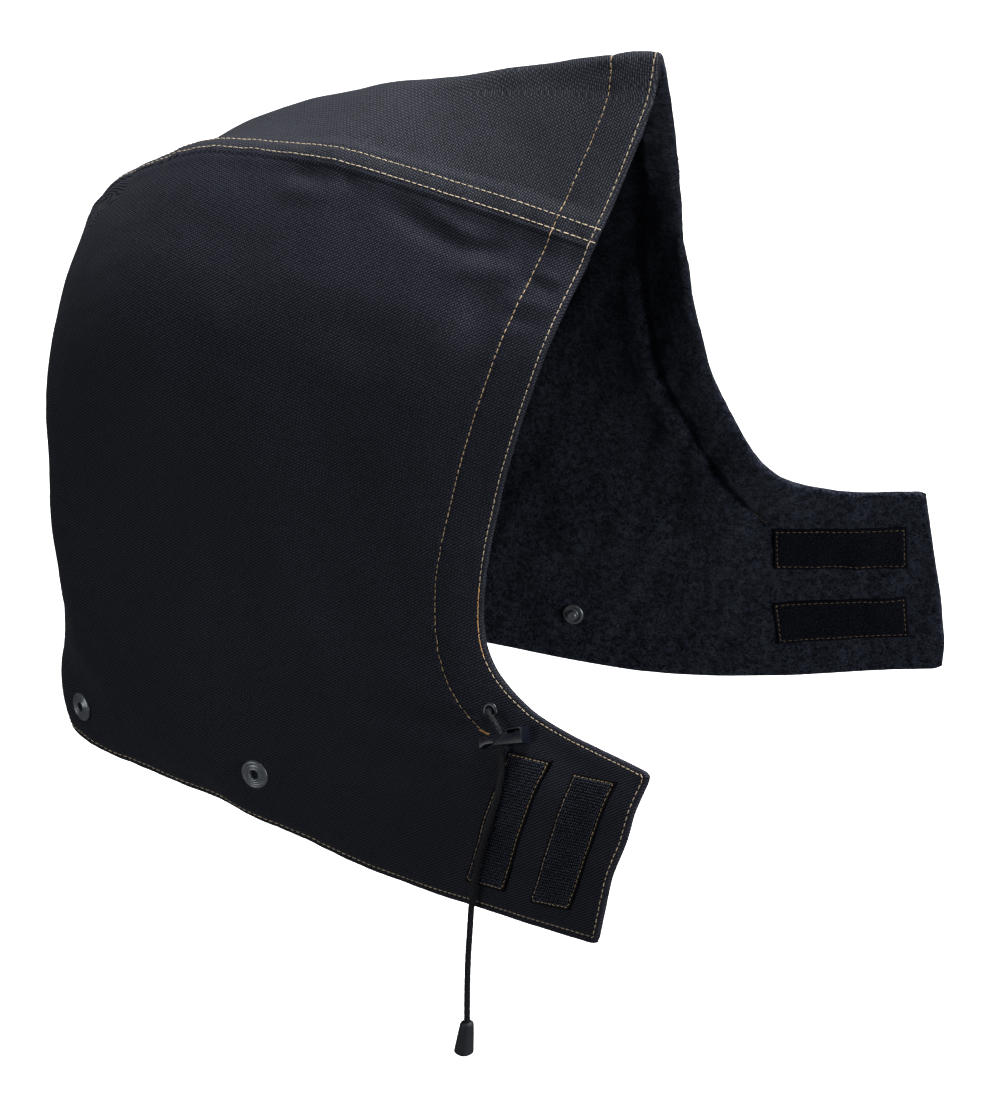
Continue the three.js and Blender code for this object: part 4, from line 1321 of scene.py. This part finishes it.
def flap_stitch_places(side):
    """Round a flap: along the front edge to the tip, down it and back along the hem."""
    turns = []
    for near_edge in (row_at, hem_row_at):
        station = tip_station_at(side, near_edge(side * 6.9))
        turns.append((abs(station), near_edge(station)))
    (top_station, top_row), (low_station, low_row) = turns
    front = [(side * s, row_at(side * s)) for s in np.linspace(2.03, top_station, 260)]
    tip = [(tip_station_at(side, r), r) for r in np.linspace(top_row, low_row, 60)]
    hem = [(side * s, hem_row_at(side * s)) for s in np.linspace(low_station, 2.0, 300)]
    return front + tip[1:-1] + hem


for side, word in SIDES:
    sew(f"edge_stitches_{word}", flap_stitch_places(side), pale_thread, word, Length=2.6 * MM)
crown_front = [(s, row_at(s)) for s in np.linspace(-2, 2, 120)]
crown_hem = [(s, hem_row_at(s)) for s in np.linspace(-2, 2, 60)]
sew("edge_stitches_crown_front", crown_front, pale_thread, "crown")
sew("edge_stitches_crown_hem", crown_hem, pale_thread, "crown")

# Thick places of the thread: where the edge row starts and stops, and the tunnel's two ends
backtack = [(-s, row_at(-s)) for s in np.linspace(4.4, 5.04, 30)]
sew(
    "backtack_edge", backtack, orange_thread, "right",
    Pitch=2.3 * MM, Length=2.2 * MM, Radius=0.25 * MM, Sway=0.2,
)
bar_right = [(-5.87, 0.6), (-5.82, 0.62), (-5.74, 0.645)]
sew(
    "bartack_right", bar_right, orange_thread, "right",
    Pitch=0.5 * MM, Length=1.4 * MM, Turn=1.2, Bow=0.5 * MM, Radius=0.17 * MM, Sway=0.35,
)
bar_left = [(5.42, 0.63), (5.5, 0.65), (5.62, 0.675)]
sew(
    "bartack_left", bar_left, dull_thread, "left", inner_tree, -1,
    Pitch=1.5 * MM, Length=1.8 * MM, Turn=0.9, Bow=0.8 * MM, Radius=0.15 * MM, Sway=0.8,
)


# Hook and loop tape
def corner_mix(four, u, v):
    first = four[0] * (1 - u) + four[1] * u
    last = four[3] * (1 - u) + four[2] * u
    return first * (1 - v) + last * v


def tape_frame(corners, facing):
    """Corner spots and directions of a patch's stitch box, and its width and length."""
    stations, rows = np.array(corners, float).T
    depth = 0 if facing > 0 else CLOTH
    spots = sunk_point(stations, rows, depth)
    sizes = [
        (np.linalg.norm(spots[a] - spots[0]) + np.linalg.norm(spots[2] - spots[b])) / 2
        for a, b in ((1, 3), (3, 1))
    ]
    return spots, outward(stations, rows) * facing, sizes


def tape_spots(corners, facing, tree, us, vs):
    """Points of a patch on the cloth, with their outward directions and those along the tape."""
    spots, ways, _ = tape_frame(corners, facing)
    u, v = np.meshgrid(us, vs)
    u, v = u[..., None], v[..., None]
    spot = corner_mix([s[None, None, :] for s in spots], u, v)
    way = corner_mix([w[None, None, :] for w in ways], u, v)
    way = way / np.linalg.norm(way, axis=-1, keepdims=True)
    flat = seated(spot.reshape(-1, 3), way.reshape(-1, 3), tree, 0.0).reshape(spot.shape)
    height = ((flat - spot) * way).sum(-1, keepdims=True)
    calm = (height + np.mean(height)) / 2
    return spot + way * np.maximum(calm, height), way


def add_tape(name, corners, facing, tree, material):
    """The woven base, pulled down along its box of stitches."""
    width, length = tape_frame(corners, facing)[2]
    mu, mv = TAPE_MARGIN / width, TAPE_MARGIN / length
    steps = np.array([0, 0.15, 0.35, 0.65, 1.1, 1.5, 1.9, 2.4]) * MM
    inner = 2.9 * MM
    across, down = (
        np.concatenate([steps, np.linspace(inner, whole - inner, count), whole - steps[::-1]])
        for whole, count in ((width + 2 * TAPE_MARGIN, 16), (length + 2 * TAPE_MARGIN, 54))
    )
    spot, way = tape_spots(corners, facing, tree, across / width - mu, down / length - mv)
    edge = np.minimum(
        np.minimum(across, across[::-1])[None, :], np.minimum(down, down[::-1])[:, None]
    )
    height = TAPE_THICKNESS * np.sqrt(np.clip(edge / (0.5 * MM), 0.04, 1))
    height = height - 0.45 * MM * hump(edge - TAPE_MARGIN, 0.55 * MM)
    height = height + 0.12 * MM * uneven(spot, 7 * MM, 31) * ease(edge, 0, 1 * MM)
    upper = spot + way * height[..., None]
    lower = spot - way * 0.3 * MM
    cloth = np.stack(np.meshgrid(across, down), axis=-1)
    return grid_slab(name, upper, lower, cloth, hump(edge, 0.6 * MM), material)


def hook_tree():
    """Small bent threads stood on points: open hooks or closed loops."""
    sizes = {"Reach": 0.5 * MM, "Height": 1 * MM, "Radius": 0.1 * MM, "Sway": 0.3}
    tree, given = new_tree("tape_threads", "Field", sizes, "Threads")
    points = put(tree, "GeometryNodeMeshToPoints", Mesh=given["Field"]).outputs[0]
    sway = given["Sway"]
    back = maths(tree, "MULTIPLY", sway, -1.0)
    lean = put(
        tree, "FunctionNodeRandomValue", {"data_type": "FLOAT_VECTOR"},
        _0=spot_of(tree, X=back, Y=back, Z=back), _1=spot_of(tree, X=sway, Y=sway, Z=sway),
        _8=given["Seed"],
    ).outputs[0]
    foot, peak, end = (
        spot_of(
            tree, X=maths(tree, "MULTIPLY", given["Reach"], reach),
            Z=maths(tree, "MULTIPLY", given["Height"], height),
        )
        for reach, height in ((-1.0, -0.3), (-0.2, 2.0), (1.0, 0.35))
    )
    copies = put(
        tree, "GeometryNodeInstanceOnPoints",
        Points=points, Instance=bowed_thread(tree, foot, peak, end, given["Radius"], 5),
        Rotation=stood(tree, kept_way(tree, "outward"), kept_way(tree, "along"), lean),
    ).outputs[0]
    finish_tree(tree, copies, given["Thread"], "Threads")
    return tree


TAPE_THREADS = hook_tree()


def add_threads(name, corners, facing, tree, pitch, jitter, thread, **values):
    """A field of hooks or loops inside the box of stitches."""
    width, length = tape_frame(corners, facing)[2]
    inset = 0.9 * MM
    columns = int((width - 2 * inset) / pitch[0])
    lines = int((length - 2 * inset) / pitch[1])
    us = np.linspace(inset, width - inset, columns) / width
    vs = np.linspace(inset, length - inset, lines) / length
    spot, way = tape_spots(corners, facing, tree, us, vs)
    draw = np.random.default_rng(41 + len(name))
    along = np.gradient(spot, axis=0)
    along /= np.linalg.norm(along, axis=-1, keepdims=True)
    across = np.cross(way, along)
    shift = draw.uniform(-1, 1, (2, *spot.shape[:2], 1)) * jitter
    spot = spot + along * shift[0] + across * shift[1] + way * (TAPE_THICKNESS - 0.15 * MM)
    row = np.arange(lines)[:, None, None] + np.zeros((lines, columns, 1))
    along = np.where(row % 2 > 0, along, -along)
    settings = {"Thread": thread, "Seed": 7, **values}
    ways = {"outward": way.reshape(-1, 3), "along": along.reshape(-1, 3)}
    return grow(name, spot.reshape(-1, 3), [], ways, TAPE_THREADS, settings)


def sew_box(name, corners, facing, tree, thread, panel, **values):
    """One row of stitches round a patch."""
    spots, ways, _ = tape_frame(corners, facing)
    turns = np.array([(0, 0), (1, 0), (1, 1), (0, 1), (0, 0)])
    places = [
        first + share * (second - first)
        for first, second in zip(turns[:-1], turns[1:])
        for share in np.linspace(0, 1, 30, endpoint=False)
    ]
    places.append(turns[-1])
    line = np.array([corner_mix(spots, u, v) for u, v in places])
    way = np.array([corner_mix(ways, u, v) for u, v in places])
    way /= np.linalg.norm(way, axis=1, keepdims=True)
    line = seated(line, way, tree, 0.04 * MM)
    return sew_line(name, line, way, thread, panel, **values)


HOOK_SEWING = {"Pitch": 2.7 * MM, "Length": 2.3 * MM, "Radius": 0.17 * MM, "Sway": 0.14}
LOOP_SEWING = {"Pitch": 2.9 * MM, "Length": 2.2 * MM, "Radius": 0.15 * MM, "Sway": 0.3}
tapes = []
for word, corners in HOOK_PATCHES.items():
    tape = add_tape(f"hook_tape_{word}", corners, 1, outer_tree, hook_base)
    hooks = add_threads(
        f"hooks_{word}", corners, 1, outer_tree, (1.25 * MM, 1.5 * MM), 0.12 * MM, hook_plastic,
        Reach=0.42 * MM, Height=0.75 * MM, Radius=0.14 * MM, Sway=0.2,
    )
    sew_box(
        f"box_stitches_hook_{word}", corners, 1, seat_tree([tape]), tan_thread, "right",
        **HOOK_SEWING,
    )
    tapes.append((f"hook_patch_{word}", tape, hooks, "hook_tape"))
for word, corners in LOOP_PATCHES.items():
    tape = add_tape(f"loop_tape_{word}", corners, -1, inner_tree, loop_base)
    loops = add_threads(
        f"loops_{word}", corners, -1, inner_tree, (1.05 * MM, 1.05 * MM), 0.5 * MM, loop_fibre,
        Reach=0.6 * MM, Height=0.5 * MM, Radius=0.08 * MM, Sway=1.4,
    )
    sew_box(
        f"box_stitches_loop_{word}", corners, -1, seat_tree([tape]), dull_thread, "left",
        **LOOP_SEWING,
    )
    tapes.append((f"loop_patch_{word}", tape, loops, "loop_tape"))


# Turned metal pieces
def turned_piece(name, profile, centre, direction, material, sides=72):
    """A round piece: its profile is radius and height in mm, height along the direction."""
    heights = np.array(profile, float) * MM
    up = np.array(direction) / np.linalg.norm(direction)
    first, second = square_to(up)
    closed = heights[0][0] == 0 and heights[-1][0] == 0
    inner = heights[1:-1] if closed else heights
    angle = np.linspace(0, 2 * np.pi, sides, endpoint=False)
    around = np.cos(angle)[:, None] * first + np.sin(angle)[:, None] * second
    ring = centre + inner[:, None, :1] * around[None] + inner[:, None, 1:] * up
    vertices = ring.reshape(-1, 3).tolist()
    faces = ring_faces(len(inner), sides, joined=not closed)
    if closed:
        for end, row in ((heights[0], 0), (heights[-1], len(inner) - 1)):
            faces += end_fan(row, sides, len(vertices))
            vertices.append((centre + up * end[1]).tolist())
    obj = new_piece(name, vertices, faces, material)
    turn_outward(obj)
    return obj


def seat_lift(tree, centre, way, radius):
    """How far the highest cloth under a round piece stands over its centre point."""
    first, second = square_to(way)
    best = -1.0
    for ring in (0.5, 1.0):
        for spoke in np.linspace(0, 2 * np.pi, 24, endpoint=False):
            spot = centre + ring * radius * (np.cos(spoke) * first + np.sin(spoke) * second)
            on = seated([spot], [way], tree)[0]
            best = max(best, float((on - centre) @ way))
    return best


RING_PROFILE = [
    (0, -2.2), (2.9, -2.2), (2.9, -0.2), (7.0, -0.25), (7.35, -0.05), (7.4, 0.2), (7.3, 0.5),
    (7.05, 0.75), (6.75, 0.95), (6.45, 1.18), (6.15, 1.24), (5.9, 1.1), (5.7, 0.8), (5.4, 0.6),
    (4.9, 0.58), (4.6, 0.72), (4.4, 0.9), (4.2, 0.92), (4.05, 0.8), (3.85, 0.85), (3.6, 1.15),
    (3.25, 1.4), (2.9, 1.42), (2.6, 1.3), (2.4, 1.05), (2.3, 0.6), (2.25, -0.6), (2.2, -1.7),
    (1.2, -1.8), (1.0, -1.5), (0, -1.45),
]
STUD_PROFILE = [
    (0, -1.5), (1.8, -1.5), (1.8, -0.2), (5.2, -0.2), (5.45, 0.0), (5.5, 0.3), (5.4, 0.6),
    (5.1, 0.85), (4.6, 0.95), (4.2, 0.92), (3.95, 0.75), (3.8, 0.4), (3.5, 0.15), (2.9, 0.1),
    (2.5, 0.2), (2.3, 0.5), (2.24, 1.1), (2.24, 1.9), (2.34, 2.4), (2.42, 2.8), (2.4, 3.15),
    (2.2, 3.45), (1.85, 3.6), (1.3, 3.62), (0.9, 3.52), (0, 3.5),
]
EYELET_PROFILE = [
    (2.1, -1.2), (2.1, 0.2), (2.2, 0.5), (2.45, 0.78), (2.9, 0.92), (3.4, 0.88), (3.85, 0.66),
    (4.12, 0.36), (4.2, 0.05), (4.1, -0.15), (2.6, -0.2), (2.6, -1.2),
]

snap_pieces = []
for word, place in SNAP_PLACES.items():
    centre = face_point(*place)
    way = np.array(SNAP_FACING[word]) / np.linalg.norm(SNAP_FACING[word])
    way = 0.8 * way + 0.2 * outward(*place)
    lift = seat_lift(outer_tree, centre, way, 6.8 * MM) - 0.3 * MM
    ring = turned_piece(f"snap_cap_{word}", RING_PROFILE, centre + way * lift, way, dark_metal)
    inner = centre - way * CLOTH
    drop = seat_lift(inner_tree, inner, -way, 4.8 * MM)
    stud = turned_piece(f"snap_post_{word}", STUD_PROFILE, inner - way * drop, -way, dark_metal)
    snap_pieces += [(f"snap_ring_{word}", ring), (f"snap_stud_{word}", stud)]

eyelet_centre = face_point(*EYELET_PLACE)
eyelet_way = outward(*EYELET_PLACE)
eyelet_lift = seat_lift(outer_tree, eyelet_centre, eyelet_way, 3.8 * MM)
eyelet = turned_piece(
    "cord_ring", EYELET_PROFILE, eyelet_centre + eyelet_way * eyelet_lift, eyelet_way, black_metal
)


# Cord lock, its spring and the moulded end of the cord
LOCK_UP = LOCK_FACE.cross(LOCK_AXIS).normalized()
LOCK_OUT = LOCK_AXIS.cross(LOCK_UP)
WALL_START = 2.4 * MM
WALL_SHARE = 0.5
FIN_START = 7.0 * MM
FIN_END = 10.8 * MM
FIN_SHIFT = 1.3 * MM
SHOULDER = 1.6 * MM
SPRING_START = 5.2 * MM
SPRING_END = 10.8 * MM


def slimmer_lock(place):
    """The lock's outer walls drawn in and its fin drawn forward, as moulding leaves them."""
    offset = place - LOCK_MOUTH
    along, up, out = offset.dot(LOCK_AXIS), offset.dot(LOCK_UP), offset.dot(LOCK_OUT)
    if abs(out) > WALL_START:
        out = math.copysign(WALL_START + (abs(out) - WALL_START) * WALL_SHARE, out)
    if up > SHOULDER and FIN_START < along < FIN_END:
        along -= FIN_SHIFT
    return LOCK_MOUTH + along * LOCK_AXIS + up * LOCK_UP + out * LOCK_OUT


def softened_copy(node, name, width, material):
    """A copy of a solid with merged corners, plain flats and rounded edges."""
    mesh = frame["nodes"][node].data.copy()
    mesh.name = name
    shape = bmesh.new()
    shape.from_mesh(mesh)
    bmesh.ops.remove_doubles(shape, verts=shape.verts, dist=0.002 * MM)
    for vertex in shape.verts:
        vertex.co = slimmer_lock(vertex.co)
    bmesh.ops.dissolve_limit(
        shape, angle_limit=math.radians(1), verts=shape.verts, edges=shape.edges
    )
    shape.to_mesh(mesh)
    shape.free()
    mesh.materials.clear()
    mesh.materials.append(material)
    mesh.shade_smooth()
    obj = in_scene(name, mesh)
    rounding = obj.modifiers.new("rounding", "BEVEL")
    rounding.width = width
    rounding.segments = 3
    rounding.limit_method = "ANGLE"
    rounding.angle_limit = math.radians(28)
    rounding.harden_normals = True
    graph = bpy.context.evaluated_depsgraph_get()
    done = bpy.data.meshes.new_from_object(obj.evaluated_get(graph), depsgraph=graph)
    obj.modifiers.clear()
    obj.data = done
    return obj


lock_body = softened_copy("lock_barrel", "lock_body", 0.3 * MM, plastic)
lock_button = softened_copy("lock_plunger", "lock_button", 0.22 * MM, plastic)


def add_spring():
    """A wire coil between the plunger's end and the end of its bore."""
    wire = 0.24 * MM
    coil = 1.0 * MM
    play = 0.3 * MM
    turns = 5
    sides = 10
    start = SPRING_START + play + wire
    end = SPRING_END - play - wire
    frames = np.array([np.array(way) for way in (LOCK_AXIS, LOCK_UP, LOCK_OUT)])
    share = np.linspace(0, 1, 200)
    angle = 2 * np.pi * turns * share
    local = np.stack([start + (end - start) * share, coil * np.cos(angle), coil * np.sin(angle)], 1)
    centre = np.array(LOCK_MOUTH) + local @ frames
    tangent = np.gradient(centre, axis=0)
    tangent /= np.linalg.norm(tangent, axis=1, keepdims=True)
    side = np.cross(tangent, frames[0])
    side /= np.linalg.norm(side, axis=1, keepdims=True)
    other = np.cross(tangent, side)
    turn = np.linspace(0, 2 * np.pi, sides, endpoint=False)
    ring = centre[:, None] + wire * (
        np.cos(turn)[None, :, None] * side[:, None] + np.sin(turn)[None, :, None] * other[:, None]
    )
    faces = ring_faces(len(centre), sides)
    faces.append(tuple(range(sides)))
    faces.append(tuple((len(centre) - 1) * sides + i for i in range(sides)))
    obj = new_piece("lock_coil", ring.reshape(-1, 3).tolist(), faces, bright_steel)
    turn_outward(obj)
    return obj, Vector(np.array(LOCK_MOUTH) + SPRING_END * frames[0])


lock_coil, coil_stop = add_spring()


BELL_TOP = 5 * MM
BELL_LEAN = 1.6 * MM
BELL_PROFILE = [
    (0, 0.6), (1.6, 0.62), (2.3, 0.5), (2.8, 0.25), (3.15, -0.15), (3.32, -0.7),
    (3.42, -1.5), (3.55, -3), (3.78, -5.5), (4.05, -8.9), (4.32, -12.3), (4.54, -14.9),
    (4.62, -16.1), (4.55, -16.8), (4.2, -17.3), (3.4, -17.55), (2.0, -17.6), (0, -17.6),
]


def add_cord_tip():
    """A moulded bell on the cord's end: an oval section that widens downward to one side."""
    top = np.array(CORD_ROUTE[-1]) * MM + np.array((0, 0, BELL_TOP))
    wide = np.array((0.5, -0.866, 0))
    narrow = np.array((0.866, 0.5, 0))
    flatness = 0.86
    sides = 48

    def middle(height):
        return top - wide * BELL_LEAN * np.clip(-height / 16, 0, 1) + np.array((0, 0, height * MM))

    angle = np.linspace(0, 2 * np.pi, sides, endpoint=False)
    vertices = []
    for radius, height in BELL_PROFILE[1:-1]:
        bulge = 1 + 0.035 * np.clip(-height / 10, 0, 1) * np.cos(4 * angle)
        out = wide * np.cos(angle)[:, None] + narrow * flatness * np.sin(angle)[:, None]
        vertices += (middle(height) + out * radius * MM * bulge[:, None]).tolist()
    count = len(BELL_PROFILE) - 2
    faces = ring_faces(count, sides)
    for row, height in ((0, BELL_PROFILE[0][1]), (count - 1, BELL_PROFILE[-1][1])):
        faces += end_fan(row, sides, len(vertices))
        vertices.append(middle(height).tolist())
    obj = new_piece("cord_tip", vertices, faces, rubber)
    turn_outward(obj)
    return obj


cord_tip = add_cord_tip()


# Which body and node each piece goes with
def belongs(obj, slot, *nodes, body="hood"):
    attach(obj, body)
    if nodes:
        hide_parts(*nodes)


belongs(shells["crown"], "canvas", "crown_panel")
belongs(shells["right"], "canvas", "side_panel_right")
belongs(shells["left"], "canvas", "side_panel_left")
belongs(linings["crown"], "fleece", "lining_crown")
belongs(linings["right"], "fleece", "lining_right")
belongs(linings["left"], "fleece", "lining_left")
for rows in all_stitches.values():
    for obj in rows:
        belongs(obj, "canvas")
for node, tape, threads, slot in tapes:
    belongs(tape, slot, node)
    belongs(threads, slot)
for node, obj in snap_pieces:
    belongs(obj, "dark_metal", node)
belongs(eyelet, "dark_metal", "cord_eyelet")
belongs(drawcord, "cord", "drawcord")
belongs(lock_body, "plastic", "lock_barrel")
belongs(lock_button, "plastic", "lock_plunger", body="plunger")
belongs(lock_coil, "spring_steel", "lock_spring")
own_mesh(lock_coil)
belongs(cord_tip, "plastic", "cord_end")


# Floor and light
FLOOR_LEVEL = -0.95
FLOOR_REACH = 9.0
FLOOR_CORNERS = ((-1, -1), (1, -1), (1, 1), (-1, 1))


def add_floor():
    mesh = bpy.data.meshes.new("floor")
    corners = [(x * FLOOR_REACH, y * FLOOR_REACH, FLOOR_LEVEL) for x, y in FLOOR_CORNERS]
    mesh.from_pydata(corners, [], [(0, 1, 2, 3)])
    material, _, shader = new_material("floor")
    shader.inputs["Base Color"].default_value = (0.9, 0.9, 0.9, 1)
    shader.inputs["Roughness"].default_value = 0.9
    shader.inputs["Specular IOR Level"].default_value = 0.0
    shader.inputs["Emission Color"].default_value = (1, 1, 1, 1)
    shader.inputs["Emission Strength"].default_value = 0.8
    mesh.materials.append(material)
    floor = in_scene("floor", mesh)
    floor.visible_diffuse = False
    floor.visible_glossy = False


def add_softbox(name, place, aim, size, power):
    data = bpy.data.lights.new(name, "AREA")
    data.shape = "RECTANGLE"
    data.size = size[0]
    data.size_y = size[1]
    data.energy = power
    lamp = in_scene(name, data)
    lamp.location = place
    lamp.rotation_euler = (Vector(place) - Vector(aim)).to_track_quat("Z", "Y").to_euler()


add_floor()
add_softbox("top_light", (0.8, -0.6, 2.8), (0, 0, -0.1), (1.8, 1.8), 248)
add_softbox("front_light", (-0.7, -3.3, 0.4), (0, -0.1, -0.2), (1.6, 1.6), 90)
add_softbox("side_light", (-3.2, 1.9, 0.4), (0, 0, -0.2), (1.8, 1.8), 44)

world = bpy.data.worlds.new("studio")
world.use_nodes = True
studio = world.node_tree
fill = studio.nodes["Background"]
fill.inputs["Color"].default_value = (0.94, 0.97, 1.0, 1)
fill.inputs["Strength"].default_value = 0.12
white_wall = put(studio, "ShaderNodeBackground", Color=(1, 1, 1, 1), Strength=1.0).outputs[0]
seen = put(studio, "ShaderNodeLightPath").outputs["Is Camera Ray"]
both = put(studio, "ShaderNodeMixShader", _0=seen, _1=fill.outputs[0], _2=white_wall).outputs[0]
studio.links.new(both, studio.nodes["World Output"].inputs["Surface"])
bpy.context.scene.world = world
bpy.context.scene.view_settings.view_transform = "Standard"
